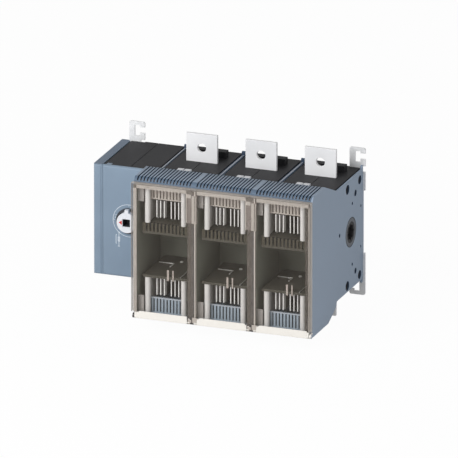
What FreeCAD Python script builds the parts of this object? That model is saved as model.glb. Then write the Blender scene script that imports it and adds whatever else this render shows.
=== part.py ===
import FreeCAD, Part
import math
import os

os.makedirs("parts", exist_ok=True)

# All lengths are in millimetres. X runs to the right seen from the front,
# +Y runs back to the mounting wall, Z runs up. The origin is the centre of
# the mounting plane, so every part of the body lies at negative Y.

# Moving contacts, which set the depth and the height of the switch section
blade_reach = 40.0
blade_room_back = 16.0
blade_room_front = 20.0
blade_thickness = 4.0
blade_width = 12.0
blade_ring_radius = 20.0
circuit_offset = 12.0
shaft_height = 3.0
shaft_square = 12.0
shaft_play = 0.1
drum_radius = 22.0
drum_end_gap = 8.75
drum_core_radius = 13.0
journal_radius = 12.0
side_opening_radius = 17.5
fork_wall = 3.0
fork_half_width = 10.0
fork_overlap = 9.0
fork_root_gap = 12.0
bar_thickness = 6.0
bar_room = 7.0
lug_root = 19.0
shaft_depth = blade_room_back + blade_reach
rear_depth = shaft_depth + blade_reach + blade_room_front
fork_tip = blade_reach - fork_overlap
fork_root = blade_reach + fork_root_gap
lug_inner_half_height = shaft_height + fork_root + bar_thickness + bar_room
rear_half_height = lug_inner_half_height + lug_root

# Overall layout
pole_count = 3
pole_pitch = 94.5
drive_width = 88.5
side_cap_width = 14.0
partition_thickness = 5.0
front_rise = 23.0
fuse_depth = 106.0
drive_proud = 7.0
front_half_height = rear_half_height + front_rise
front_depth = rear_depth + fuse_depth
drive_depth = rear_depth + drive_proud
clear_width = pole_pitch - partition_thickness

# Outline of the fuse section above and below the switch section
ridge_top_run = 54.0
ridge_bottom_run = 37.0
heel_run = 4.0
heel_rise = 8.0
knee_radius = 8.0
ridge_top_depth = rear_depth + ridge_top_run
ridge_bottom_depth = rear_depth + ridge_bottom_run
heel_depth = rear_depth + heel_run
heel_half_height = rear_half_height + heel_rise

# Clearances
seat_gap = 0.3
running_gap = 0.07
swing_gap = 0.5

# Switch bases
base_wall = 3.0
base_roof = 5.0
base_back_wall = 6.0
edge_groove_width = 2.4
edge_groove_depth = 4.0
seam_width = 0.8
seam_depth = 0.8
rear_block_width = 56.0
rear_block_near = 20.0
rear_block_far = 33.0
rear_block_height = 10.0
pip_radius = 2.6
pip_height = 6.0
pip_inset = 6.2

# Fuse housings
housing_wall = 4.0
housing_side_wall = 1.5
housing_back_wall = 5.0
lip_depth = 3.0
lip_height = 8.0
slot_count = 17
slot_margin = 0.465
slot_width = 2.1
slot_floor_drop = 5.6
top_slot_run_out = 12.0
bottom_slot_run_out = 7.0
bay_half_height = front_half_height - lip_height
slot_pitch = (clear_width - 2 * slot_margin) / slot_count
top_slot_back = ridge_top_depth - top_slot_run_out
bottom_slot_back = ridge_bottom_depth - bottom_slot_run_out
bay_back = rear_depth + housing_back_wall

# Terminal lugs
lug_width = 49.5
lug_thickness = 5.0
lug_proud = 4.0
lug_reach = 44.0
lug_hole_radius = 7.0
lug_neck_overlap = 2.0
lug_front = shaft_depth + lug_proud

# Fuse jaws
jaw_margin = 16.0
jaw_height = 27.0
jaw_inset = 17.0
lower_jaw_shift = 7.0
guard_offset_from_wall = 16.05
jaw_foot_gap = 8.7
jaw_foot_thickness = 6.0
tag_gap = 6.4
lamella_count = 3
lamella_thickness = 3.2
lamella_pitch = 5.9
lamella_flare = 5.0
clip_thickness = 1.6
clip_start = 10.0
clip_end = 19.0
clip_seat_gap = 1.0
clip_bridge_half_length = 6.0
riser_gap = 4.0
jaw_outer = rear_half_height - jaw_margin
jaw_inner = jaw_outer - jaw_height
lower_jaw_inner = jaw_inner + lower_jaw_shift
lower_jaw_outer = jaw_outer + lower_jaw_shift
jaw_front = front_depth - jaw_inset
guard_offset = clear_width / 2 - guard_offset_from_wall
jaw_foot_half_width = guard_offset - jaw_foot_gap
clip_front = jaw_front - clip_start
clip_back = bay_back + clip_end
riser_front = rear_depth - riser_gap

# Contact carriers and guards
carrier_side_gap = 8.75
carrier_inset = 6.0
upper_shelf_drop = 6.0
lower_shelf_drop = 3.0
carrier_thickness = 4.0
comb_height = 17.0
comb_sill = 4.0
comb_slots = 11
comb_slot_width = 2.7
comb_margin = 3.5
guard_post_radius = 4.25
guard_inset = 9.0
guard_wall = 3.0
guard_rise = 5.5
lower_guard_inset = 7.0
carrier_half_width = clear_width / 2 - carrier_side_gap
carrier_front = front_depth - carrier_inset
upper_shelf = jaw_inner - upper_shelf_drop
lower_shelf = lower_jaw_inner - lower_shelf_drop
comb_bottom = upper_shelf - comb_height
comb_window = comb_bottom + comb_sill
comb_pitch = 2 * (carrier_half_width - comb_margin) / comb_slots
guard_post_centre = front_depth - guard_inset
upper_guard_end = rear_half_height + guard_rise
lower_guard_end = front_half_height - lower_guard_inset

# Vent grilles between the jaws and the housing's roof and floor
grille_gap = 0.75
grille_thickness = 3.0
grille_rail = 2.0
upper_grille_start = 2.4
lower_grille_start = 3.0
grille_front = guard_post_centre - guard_post_radius - grille_gap

# Marker plates
marker_width = 22.0
marker_start = 11.0
marker_length = 11.0
marker_rise = 4.13
marker_back = rear_depth + marker_start
marker_front = marker_back + marker_length

# Drive
drive_wall = 3.5
cover_depth = 5.0
snap_tab_inset = 5.0
snap_tab_width = 8.0
snap_tab_reach = 7.0
snap_tab_thickness = 2.0
cover_wall = 3.0
cover_edge_radius = 4.0
selector_to_poles = 45.5
disc_radius = 15.7
disc_proud = 11.0
disc_sink = 3.0
disc_gap = 0.5
nib_width = 6.0
nib_reach = 4.5
nib_thickness = 6.0
collar_radius = 20.0
collar_proud = 3.0
socket_wall = 2.0
socket_sink = 9.0
socket_proud = 0.6
pointer_base = 9.3
pointer_tip = 14.8
pointer_half_width = 3.4
pointer_thickness = 0.8
input_shaft_radius = 7.0
cup_sink = 7.0
cup_floor = 5.0
boss_reach = 19.0
bush_wall = 1.6
shaft_round_radius = 9.0
bearing_wall = 3.0
bearing_flange = 3.0
flange_extra = 3.0
drive_split = drive_depth - cover_depth
boss_back = drive_depth - boss_reach
disc_front = drive_depth + disc_proud
disc_back = drive_depth - disc_sink
socket_floor = drive_depth - socket_sink
cup_floor_front = drive_depth - cup_sink
cup_floor_back = cup_floor_front - cup_floor

# Mitre gears
gear_module = 2.0
gear_teeth = 20
gear_face = 0.4
gear_addendum = 1.5
gear_dedendum = 2.2
gear_backlash = 0.6
gear_back = 30.0
gear_rim = 2.0
gear_hub_radius = 13.0
tooth_sink = 0.5
pressure_slope = 0.364

# Drive spring
spring_wire = 1.6
spring_radius = 13.0
spring_turns = 3
spring_pitch = 2.1

# Coupling ring at the right end
coupling_radius = 16.4
coupling_flange_radius = 20.0
coupling_flange = 4.7
coupling_length = 10.3
coupling_floor = 3.8
star_outer = 13.4
star_inner = 10.6
star_points = 8
coupling_recess = 0.4
hub_ring_radius = 23.0
hub_groove_width = 1.2
hub_groove_depth = 1.0

# Fuse cover
cover_reach = 8.0
cover_thickness = 2.5
cover_top_drop = 7.0
cover_bottom_rise = 10.0
cover_air = 0.4
cover_left_overhang = 2.0
cover_rib_offset = 4.5
cover_rib_thickness = 1.5
hinge_inset = 3.5
hinge_rail_radius = 4.0
hinge_ear_radius = 3.8
hinge_pin_radius = 2.0
hinge_pin_reach = 8.0
hinge_side_gap = 0.7
cover_front = front_depth + cover_reach
cover_top = front_half_height - cover_top_drop
cover_bottom = front_half_height - cover_bottom_rise
hinge_depth = cover_front - hinge_inset
hinge_drop = front_half_height - hinge_inset

# Tie rods: depth, and distance in from the rear section's top or bottom
rod_radius = 2.5
rear_rod = (17.4, 12.0)
middle_rod = (70.6, 11.0)
rod_shift = 1.5
nut_radius = 5.0
nut_length = 4.5
rear_rod_window = 6.75
middle_rod_window = 7.5

# Mounting brackets
bracket_thickness = 3.0
bracket_width = 25.0
bracket_strip_inset = 6.0
bracket_strip_height = 29.0
bracket_neck_width = 18.5
bracket_foot_gap = 3.0
bracket_foot_height = 28.5
pocket_start = 9.0
pocket_width = 8.2
pocket_rise = 6.0
pocket_height = 17.0
mouth_rise = 11.0
mouth_height = 9.0
bracket_overhang = 3.3
left_bracket_inset = 12.4
bracket_corner = 3.0
lower_bracket_lift = 5.0
screw_drop = 15.0
screw_radius = 2.5
screw_head_radius = 4.6
screw_head_depth = 2.4
screw_length = 9.5
boss_radius = 6.0
boss_length = 5.0
bracket_strip_high = rear_half_height - bracket_strip_inset
bracket_strip_low = bracket_strip_high - bracket_strip_height
bracket_foot_low = rear_half_height + bracket_foot_gap
bracket_foot_high = bracket_foot_low + bracket_foot_height
pocket_low = bracket_foot_low + pocket_rise
pocket_high = pocket_low + pocket_height
mouth_low = bracket_foot_low + mouth_rise
mouth_high = mouth_low + mouth_height
screw_height = bracket_strip_high - screw_drop

# Holes in the end wall: depth behind the front, height, radius
end_wall_holes = (
    (36.0, 58.6, 5.0),
    (35.4, -64.5, 4.5),
    (49.6, 46.4, 2.5),
    (49.6, -49.6, 2.5),
    (12.3, 31.0, 2.0),
    (12.3, -33.0, 2.0),
    (105.0, 13.0, 3.0),
)

# Places worked out from the sizes above
total_width = side_cap_width + drive_width + pole_count * pole_pitch
left_x = -total_width / 2
right_x = total_width / 2
drive_x = left_x + side_cap_width
poles_x = drive_x + drive_width
selector_x = poles_x - selector_to_poles
shaft_y = -shaft_depth
half_partition = partition_thickness / 2
slope_rise = front_rise / ridge_top_run
drum_half_length = clear_width / 2 - drum_end_gap
bay_roof_back = rear_half_height + slope_rise * housing_back_wall - housing_wall
bay_floor_back = heel_half_height - housing_wall
upper_guard_wall_end = bay_roof_back - seat_gap
lower_guard_wall_end = bay_floor_back - seat_gap
pack_half_width = tag_gap / 2 + (lamella_count - 1) * lamella_pitch + lamella_thickness
fork_inner = blade_thickness / 2 + seat_gap
fork_outer = fork_inner + fork_wall
rods = [(-depth, side * (rear_half_height - drop) - rod_shift)
        for depth, drop in (rear_rod, middle_rod) for side in (1, -1)]


def vector(x, y, z):
    return FreeCAD.Vector(x, y, z)


def save(shape, node):
    """Write one node, as one solid or as a group of separate solids."""
    shape.exportStep("parts/" + node + ".step")


def box(x, y, z):
    """A block between the two values given for each axis, in either order."""
    low = [min(pair) for pair in (x, y, z)]
    size = [abs(pair[1] - pair[0]) for pair in (x, y, z)]
    return Part.makeBox(size[0], size[1], size[2], vector(*low))


def rod_x(radius, x0, x1, y, z):
    """A cylinder along X."""
    return Part.makeCylinder(radius, x1 - x0, vector(x0, y, z), vector(1, 0, 0))


def rod_y(radius, y0, y1, x, z):
    """A cylinder along Y."""
    return Part.makeCylinder(radius, y1 - y0, vector(x, y0, z), vector(0, 1, 0))


def join(shapes):
    """One solid from pieces that overlap or touch."""
    return shapes[0].multiFuse(shapes[1:]).removeSplitter()


def side_wire(x, corners):
    """A closed outline in the plane X = x from (y, z, corner radius) rows."""
    edges = []
    ends = []
    count = len(corners)
    for index, (y, z, radius) in enumerate(corners):
        here = vector(x, y, z)
        before = vector(x, corners[index - 1][0], corners[index - 1][1])
        after = vector(x, corners[(index + 1) % count][0], corners[(index + 1) % count][1])
        if radius == 0:
            ends.append((here, here, None))
            continue
        into = (before - here).normalize()
        out = (after - here).normalize()
        half = into.getAngle(out) / 2
        reach = radius / math.tan(half)
        middle = (into + out).normalize() * (radius / math.sin(half))
        centre = here + middle
        crown = centre - (into + out).normalize() * radius
        ends.append((here + into * reach, here + out * reach, crown))
    for index, (start, finish, crown) in enumerate(ends):
        if crown is not None:
            edges.append(Part.Arc(start, crown, finish).toShape())
        edges.append(Part.LineSegment(finish, ends[(index + 1) % count][0]).toShape())
    return Part.Wire(edges)


def side_plate(x0, x1, corners):
    """An outline in YZ made into a plate from x0 to x1."""
    return Part.Face(side_wire(x0, corners)).extrude(vector(x1 - x0, 0, 0))


def plain(points):
    """Corner rows with no rounding."""
    return [(y, z, 0) for y, z in points]


def pole_left(index):
    return poles_x + index * pole_pitch


def pole_centre(index):
    return pole_left(index) + pole_pitch / 2


def pole_span(index):
    """The clear width of a pole between its partitions."""
    return pole_left(index) + half_partition, pole_left(index + 1) - half_partition


def circuit_x(index, side):
    """The plane of the upper (side 1) or lower (side -1) moving contact."""
    return pole_centre(index) - side * circuit_offset


# The housing's outline

front_corners = [
    (-rear_depth, rear_half_height, 0),
    (-ridge_top_depth, front_half_height, 0),
    (-front_depth, front_half_height, knee_radius),
    (-front_depth, -front_half_height, knee_radius),
    (-ridge_bottom_depth, -front_half_height, 0),
    (-heel_depth, -heel_half_height, 0),
    (-rear_depth, -rear_half_height, 0),
]
rear_corners = [(0, -rear_half_height, 0), (0, rear_half_height, 0)]


def bracket_frames():
    """Each bracket as (name, centre, side, lift), left pair first."""
    left = left_x + left_bracket_inset + bracket_width / 2
    right = right_x + bracket_overhang - bracket_width / 2
    return [
        ("bracket_upper_left", left, 1, 0),
        ("bracket_lower_left", left, -1, lower_bracket_lift),
        ("bracket_upper_right", right, 1, 0),
        ("bracket_lower_right", right, -1, lower_bracket_lift),
    ]


def bracket_recesses():
    """The shallow seats that let the four bracket plates lie flush at the back."""
    seats = []
    half = bracket_width / 2 + seat_gap
    for _, centre, side, lift in bracket_frames():
        seats.append(box((centre - half, centre + half), (-bracket_thickness, 1),
                         (side * (bracket_strip_low - seat_gap) + lift, side * bracket_foot_high + lift)))
    return seats


def screw_places():
    return [(centre, side * screw_height + lift) for _, centre, side, lift in bracket_frames()]


def screw_bosses(x0, x1):
    """Bosses behind the back wall for the screws that lie between x0 and x1."""
    return [rod_y(boss_radius, -base_back_wall - boss_length, -bracket_thickness, x, z)
            for x, z in screw_places() if x0 < x < x1]


def screw_holes():
    return [rod_y(screw_radius + running_gap, -bracket_thickness - screw_length, 1, x, z)
            for x, z in screw_places()]


def rod_holes(x0, x1, radius):
    return [rod_x(radius, x0, x1, y, z) for y, z in rods]


# Partitions and end wall


def hinge_ear(x0, x1):
    """The ear at the foot of a wall that carries a cover hinge pin."""
    knuckle = rod_x(hinge_ear_radius, x0, x1, -hinge_depth, -hinge_drop)
    root = box((x0, x1), (-hinge_depth, -front_depth + knee_radius),
               (-hinge_drop - hinge_ear_radius + seat_gap, -hinge_drop + hinge_ear_radius))
    return [knuckle, root]


def side_wall(x0, x1, bore):
    """A full-height wall beside a pole, with its hinge ear and rear pips."""
    wall = side_plate(x0, x1, rear_corners + front_corners)
    middle = (x0 + x1) / 2
    reach = min(pip_radius, (x1 - x0) / 2)
    pips = []
    for side in (1, -1):
        crown = side * (rear_half_height + pip_height - pip_radius)
        pips.append(box((middle - reach, middle + reach),
                        (-pip_inset - pip_radius, -pip_inset + pip_radius),
                        (side * (rear_half_height - 1), crown)))
        pips.append(rod_x(pip_radius, middle - reach, middle + reach, -pip_inset, crown))
    wall = join([wall] + pips + hinge_ear(x0, x1))
    pin_hole = rod_x(hinge_pin_radius + running_gap, x0 - 1, x1 + 1, -hinge_depth, -hinge_drop)
    shaft_hole = rod_x(bore, x0 - 1, x1 + 1, shaft_y, shaft_height)
    return wall.cut([pin_hole, shaft_hole] + bracket_recesses())


def partition(index):
    boundary = pole_left(index)
    x0 = boundary if index == 0 else boundary - half_partition
    x1 = boundary + half_partition
    wall = side_wall(x0, x1, journal_radius + running_gap)
    return wall.cut(rod_holes(x0 - 1, x1 + 1, rod_radius + seat_gap))


def star_corners(outer, inner):
    """Corners of the drive star in the coupling ring."""
    corners = []
    for step in range(2 * star_points):
        radius = outer if step % 2 == 0 else inner
        angle = math.pi * step / star_points
        corners.append((shaft_y + radius * math.cos(angle), shaft_height + radius * math.sin(angle)))
    return corners


def end_wall():
    x0 = right_x - half_partition
    wall = side_wall(x0, right_x, coupling_radius + running_gap)
    cuts = []
    for depth, height, radius in end_wall_holes:
        cuts.append(rod_x(radius, x0 - 1, right_x + 1, -depth, height))
    for (depth, drop), radius in ((rear_rod, rear_rod_window), (middle_rod, middle_rod_window)):
        for side in (1, -1):
            height = side * (rear_half_height - drop) - rod_shift
            cuts.append(rod_x(radius, x0 - 1, right_x + 1, -depth, height))
    groove_start = right_x - hub_groove_depth
    ring = rod_x(hub_ring_radius, groove_start, right_x + 1, shaft_y, shaft_height)
    core = rod_x(hub_ring_radius - hub_groove_width, groove_start - 1, right_x + 2, shaft_y, shaft_height)
    cuts.append(ring.cut(core))
    return wall.cut(cuts)


# One pole


def pole_base(index):
    """The black tub of one pole that holds its switch contacts."""
    x0, x1 = pole_span(index)
    centre = pole_centre(index)
    body = box((x0, x1), (-rear_depth, 0), (-rear_half_height, rear_half_height))
    blocks = []
    for side in (1, -1):
        blocks.append(box((centre - rear_block_width / 2, centre + rear_block_width / 2),
                          (-rear_block_far, -rear_block_near),
                          (side * (rear_half_height - 1), side * (rear_half_height + rear_block_height))))
    body = join([body] + blocks)
    inner_height = rear_half_height - base_roof
    cuts = [box((x0 + base_wall, x1 - base_wall), (-rear_depth - 1, -base_back_wall),
                (-inner_height, inner_height))]
    for side in (1, -1):
        cuts.append(box((centre - lug_width / 2 - seat_gap, centre + lug_width / 2 + seat_gap),
                        (-lug_front - seat_gap, -lug_front + lug_thickness + seat_gap),
                        (side * (inner_height - 1), side * (rear_half_height + 1))))
        rim = (side * (rear_half_height - edge_groove_depth), side * (rear_half_height + 1))
        cuts.append(box((x0 - 1, x0 + edge_groove_width), (-rear_depth - 1, 1), rim))
        cuts.append(box((x1 - edge_groove_width, x1 + 1), (-rear_depth - 1, 1), rim))
        seam = (side * (rear_half_height - seam_depth), side * (rear_half_height + 1))
        cuts.append(box((centre - seam_width / 2, centre + seam_width / 2),
                        (-rear_depth - 1, -rear_block_far), seam))
    cuts.append(rod_x(side_opening_radius, x0 - 1, x1 + 1, shaft_y, shaft_height))
    cuts += rod_holes(x0 - 1, x1 + 1, rod_radius + seat_gap)
    body = body.cut(cuts)
    bosses = screw_bosses(x0, x1)
    if bosses:
        body = join([body] + bosses)
    return body.cut(bracket_recesses() + screw_holes())


def slot_boxes(centre, side, back):
    """The row of vent slots that run to the front edge of a housing."""
    slots = []
    floor = front_half_height - slot_floor_drop
    for step in range(slot_count):
        middle = centre + (step - (slot_count - 1) / 2) * slot_pitch
        slots.append(box((middle - slot_width / 2, middle + slot_width / 2), (-front_depth - 1, -back),
                         (side * floor, side * (front_half_height + 1))))
    return slots


def jaw_ends(side):
    """Distances of a jaw's inner and outer end from the middle of the unit."""
    if side > 0:
        return jaw_inner, jaw_outer
    return lower_jaw_inner, lower_jaw_outer


def jaw_window(index, side):
    """The clear hole behind a fuse jaw's foot."""
    centre = pole_centre(index)
    inner, outer = jaw_ends(side)
    return box((centre - jaw_foot_half_width - seat_gap, centre + jaw_foot_half_width + seat_gap),
               (-bay_back - 1, -rear_depth + 1), (side * (inner - seat_gap), side * (outer + seat_gap)))


def vent_grille(index, side, near, wall_end):
    """Upright slats in line with the fins, with slots for the two guard walls."""
    centre = pole_centre(index)
    half = clear_width / 2 - housing_side_wall - seat_gap
    far = front_half_height - housing_wall - seat_gap
    across = (-grille_front, -grille_front + grille_thickness)
    through = (-grille_front - 1, -grille_front + grille_thickness + 1)
    plate = box((centre - half, centre + half), across, (side * near, side * far))
    cuts = []
    for step in range(slot_count):
        middle = centre + (step - (slot_count - 1) / 2) * slot_pitch
        cuts.append(box((middle - slot_width / 2, middle + slot_width / 2), through,
                        (side * (near + grille_rail), side * (far - grille_rail))))
    room = guard_wall / 2 + seat_gap
    for mirror in (1, -1):
        x = centre + mirror * guard_offset
        cuts.append(box((x - room, x + room), through, (side * (near - 1), side * (wall_end + seat_gap))))
    return plate.cut(cuts)


def fuse_housing(index):
    """The blue-grey open-fronted housing of one fuse bay with its two grilles."""
    x0, x1 = pole_span(index)
    shell = side_plate(x0, x1, front_corners)
    inner = front_half_height - housing_wall
    lip_back = front_depth - lip_depth
    hollow = [
        (-bay_back, bay_roof_back), (-ridge_top_depth, inner), (-lip_back, inner),
        (-lip_back, bay_half_height), (-front_depth - 1, bay_half_height),
        (-front_depth - 1, -bay_half_height), (-lip_back, -bay_half_height), (-lip_back, -inner),
        (-ridge_bottom_depth, -inner), (-bay_back, -bay_floor_back),
    ]
    cuts = [side_plate(x0 + housing_side_wall, x1 - housing_side_wall, plain(hollow))]
    centre = pole_centre(index)
    cuts += slot_boxes(centre, 1, top_slot_back)
    cuts += slot_boxes(centre, -1, bottom_slot_back)
    cuts += [jaw_window(index, side) for side in (1, -1)]
    upper = vent_grille(index, 1, jaw_outer + upper_grille_start, upper_guard_wall_end)
    lower = vent_grille(index, -1, lower_jaw_outer + lower_grille_start, lower_guard_wall_end)
    return Part.makeCompound([shell.cut(cuts), upper, lower])


def contact_fork(x, side):
    """Two plates that the blade closes between, above (1) or below (-1) the shaft."""
    across = (shaft_y - fork_half_width, shaft_y + fork_half_width)
    along = (shaft_height + side * fork_tip, shaft_height + side * (fork_root + 1))
    left = box((x - fork_outer, x - fork_inner), across, along)
    right = box((x + fork_inner, x + fork_outer), across, along)
    return [left, right]


def terminal(index, side):
    """A tinned lug with the fixed contact of its circuit."""
    centre = pole_centre(index)
    x = circuit_x(index, side)
    tip = rear_half_height + lug_reach
    lug = box((centre - lug_width / 2, centre + lug_width / 2),
              (-lug_front, -lug_front + lug_thickness), (side * lug_inner_half_height, side * tip))
    neck = box((x - fork_outer, x + fork_outer), (shaft_y - fork_half_width, shaft_y + fork_half_width),
               (shaft_height + side * fork_root, side * (lug_inner_half_height + lug_neck_overlap)))
    hole = rod_y(lug_hole_radius, -lug_front - 1, -lug_front + lug_thickness + 1, centre,
                 side * (rear_half_height + lug_reach / 2))
    return join([lug, neck] + contact_fork(x, side)).cut(hole)


def lamella(centre, start, side, mirror):
    """One spring finger of a fuse jaw, flared outwards at its front end."""
    x0 = centre + mirror * start
    x1 = centre + mirror * (start + lamella_thickness)
    inner, outer = jaw_ends(side)
    finger = box((x0, x1), (-jaw_front, -bay_back - 1), (side * inner, side * outer))
    cut_y = -jaw_front + lamella_flare
    points = [vector(x0, -jaw_front, 0), vector(x0 + mirror * lamella_thickness / 2, -jaw_front, 0),
              vector(x0, cut_y, 0), vector(x0, -jaw_front, 0)]
    wedge = Part.Face(Part.makePolygon(points)).extrude(vector(0, 0, outer + 1))
    if side < 0:
        wedge.translate(vector(0, 0, -outer - 1))
    return finger.cut(wedge)


def fuse_jaw(index, side):
    """A fuse jaw with the bar that leads to its fixed contact behind."""
    centre = pole_centre(index)
    x = circuit_x(index, side)
    bar = (x - fork_outer, x + fork_outer)
    root = shaft_height - side * fork_root
    end = root - side * bar_thickness
    riser_back = -riser_front + bar_thickness
    foot_back = -riser_front - swing_gap * 2
    inner, outer = jaw_ends(side)
    pieces = contact_fork(x, -side)
    pieces.append(box(bar, (-riser_front, shaft_y + fork_half_width), (root, end)))
    pieces.append(box(bar, (-riser_front, riser_back), (end, side * outer)))
    pieces.append(box(bar, (foot_back, -riser_front), (side * inner, side * outer)))
    pieces.append(box((centre - jaw_foot_half_width, centre + jaw_foot_half_width),
                      (-bay_back - jaw_foot_thickness, foot_back), (side * inner, side * outer)))
    for step in range(lamella_count):
        start = tag_gap / 2 + step * lamella_pitch
        pieces.append(lamella(centre, start, side, 1))
        pieces.append(lamella(centre, start, side, -1))
    return join(pieces)


def jaw_clip(index, side):
    """The steel clip that presses a jaw's fingers together."""
    centre = pole_centre(index)
    half = pack_half_width + clip_thickness
    outer = jaw_ends(side)[1]
    shelf = upper_shelf if side > 0 else lower_shelf
    band = (side * (shelf + clip_seat_gap), side * (outer + clip_thickness))
    pieces = []
    for mirror in (1, -1):
        pieces.append(box((centre + mirror * pack_half_width, centre + mirror * half),
                          (-clip_front, -clip_back), band))
    middle = -(clip_front + clip_back) / 2
    pieces.append(box((centre - half, centre + half),
                      (middle - clip_bridge_half_length, middle + clip_bridge_half_length),
                      (side * outer, side * (outer + clip_thickness))))
    return join(pieces)


def contact_drum(index):
    """The insulating rotor of one pole, moulded round its two contact blades."""
    centre = pole_centre(index)
    body = rod_x(drum_radius, centre - drum_half_length, centre + drum_half_length,
                 shaft_y, shaft_height)
    left = rod_x(journal_radius, pole_left(index) + swing_gap, centre, shaft_y, shaft_height)
    pieces = [body, left]
    if index < pole_count - 1:
        pieces.append(rod_x(journal_radius, centre, pole_left(index + 1) - swing_gap,
                            shaft_y, shaft_height))
    body = join(pieces)
    half = shaft_square / 2 + shaft_play
    cuts = [box((pole_left(index) - 1, pole_left(index + 1) + 1), (shaft_y - half, shaft_y + half),
                (shaft_height - half, shaft_height + half))]
    for side in (1, -1):
        x = circuit_x(index, side)
        ring = rod_x(drum_radius + 1, x - blade_thickness / 2, x + blade_thickness / 2,
                     shaft_y, shaft_height)
        core = rod_x(drum_core_radius, x - blade_thickness, x + blade_thickness, shaft_y, shaft_height)
        cuts.append(ring.cut(core))
    return body.cut(cuts)


def contact_blade(index, side):
    """A flat copper blade with a ring round the drum's core, level when open."""
    x0 = circuit_x(index, side) - blade_thickness / 2
    x1 = x0 + blade_thickness
    ring = rod_x(blade_ring_radius, x0, x1, shaft_y, shaft_height)
    arms = box((x0, x1), (shaft_y - blade_reach, shaft_y + blade_reach),
               (shaft_height - blade_width / 2, shaft_height + blade_width / 2))
    hole = rod_x(drum_core_radius + seat_gap, x0 - 1, x1 + 1, shaft_y, shaft_height)
    return join([ring, arms]).cut(hole)


def moving_contacts(index):
    return Part.makeCompound([contact_blade(index, side) for side in (1, -1)])


def contact_carrier(index):
    """The black shelves on the bay's back wall; the upper one has a comb at its front."""
    centre = pole_centre(index)
    across = (centre - carrier_half_width, centre + carrier_half_width)
    shelf = box(across, (-carrier_front, -bay_back), (upper_shelf - carrier_thickness, upper_shelf))
    front = box(across, (-carrier_front, -carrier_front + carrier_thickness), (comb_bottom, upper_shelf))
    slots = []
    for step in range(comb_slots):
        middle = centre + (step - (comb_slots - 1) / 2) * comb_pitch
        slots.append(box((middle - comb_slot_width / 2, middle + comb_slot_width / 2),
                         (-carrier_front - 1, -carrier_front + carrier_thickness),
                         (comb_window, upper_shelf + 1)))
    upper = join([shelf, front]).cut(slots)
    lower = box(across, (-carrier_front, -bay_back), (-lower_shelf, -lower_shelf + carrier_thickness))
    return Part.makeCompound([upper, lower])


def guard(x, shelf, end, wall_end, side):
    """One guard: a rounded front post on a wall that reaches the bay's back."""
    post = Part.makeCylinder(guard_post_radius, end - shelf,
                             vector(x, -guard_post_centre, min(side * shelf, side * end)))
    wall = box((x - guard_wall / 2, x + guard_wall / 2), (-guard_post_centre, -bay_back),
               (side * shelf, side * wall_end))
    return join([post, wall])


def contact_guards(index):
    """Four clear guards, one at each side of each jaw."""
    centre = pole_centre(index)
    pieces = []
    for mirror in (1, -1):
        x = centre + mirror * guard_offset
        pieces.append(guard(x, upper_shelf, upper_guard_end, upper_guard_wall_end, 1))
        pieces.append(guard(x, lower_shelf, lower_guard_end, lower_guard_wall_end, -1))
    return Part.makeCompound(pieces)


def pole_marker(index):
    """The white marker plate behind the housing's ridge."""
    centre = pole_centre(index)

    def slope(depth):
        return rear_half_height + slope_rise * (depth - rear_depth)

    top = slope(marker_front) + marker_rise
    corners = [(-marker_front, slope(marker_front)), (-marker_front, top),
               (-marker_back, top), (-marker_back, slope(marker_back))]
    return side_plate(centre - marker_width / 2, centre + marker_width / 2, plain(corners))


# The drive


def rounded_front(x, front, back):
    """A block whose front edges are rounded."""
    body = box(x, (-front, -back), (-rear_half_height, rear_half_height))
    edges = [edge for edge in body.Edges
             if all(abs(vertex.Point.y + front) < 0.01 for vertex in edge.Vertexes)]
    return body.makeFillet(cover_edge_radius, edges)


def snap_tab(side, gap):
    """A tab of the front cover that lies flush in the tub's top or bottom."""
    left = drive_x + snap_tab_inset
    along = (-drive_split - 1, -drive_split + snap_tab_reach + gap)
    return box((left - gap, left + snap_tab_width + gap), along,
               (side * (rear_half_height - snap_tab_thickness - gap), side * (rear_half_height + gap)))


def drive_base():
    """The black tub behind the drive's front cover."""
    x0, x1 = drive_x, poles_x
    body = box((x0, x1), (-drive_split, 0), (-rear_half_height, rear_half_height))
    inner_height = rear_half_height - drive_wall
    middle = (x0 + x1) / 2
    cuts = [box((x0 + drive_wall, x1 - drive_wall), (-drive_split - 1, -base_back_wall),
                (-inner_height, inner_height))]
    for side in (1, -1):
        seam = (side * (rear_half_height - seam_depth), side * (rear_half_height + 1))
        rim = (side * (rear_half_height - edge_groove_depth / 2), side * (rear_half_height + 1))
        cuts.append(box((middle - seam_width / 2, middle + seam_width / 2), (-drive_split - 1, 1), seam))
        cuts.append(box((x0 - 1, x0 + edge_groove_width), (-drive_split - 1, 1), rim))
        cuts.append(box((x1 - edge_groove_width, x1 + 1), (-drive_split - 1, 1), rim))
        cuts.append(snap_tab(side, seat_gap))
    cuts.append(rod_x(shaft_round_radius + bearing_wall + running_gap * 2, x1 - drive_wall - 1, x1 + 1,
                      shaft_y, shaft_height))
    cuts += rod_holes(x1 - drive_wall - 1, x1 + 1, rod_radius + seat_gap)
    body = body.cut(cuts)
    body = join([body] + screw_bosses(x0, x1))
    return body.cut(bracket_recesses() + screw_holes())


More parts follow.
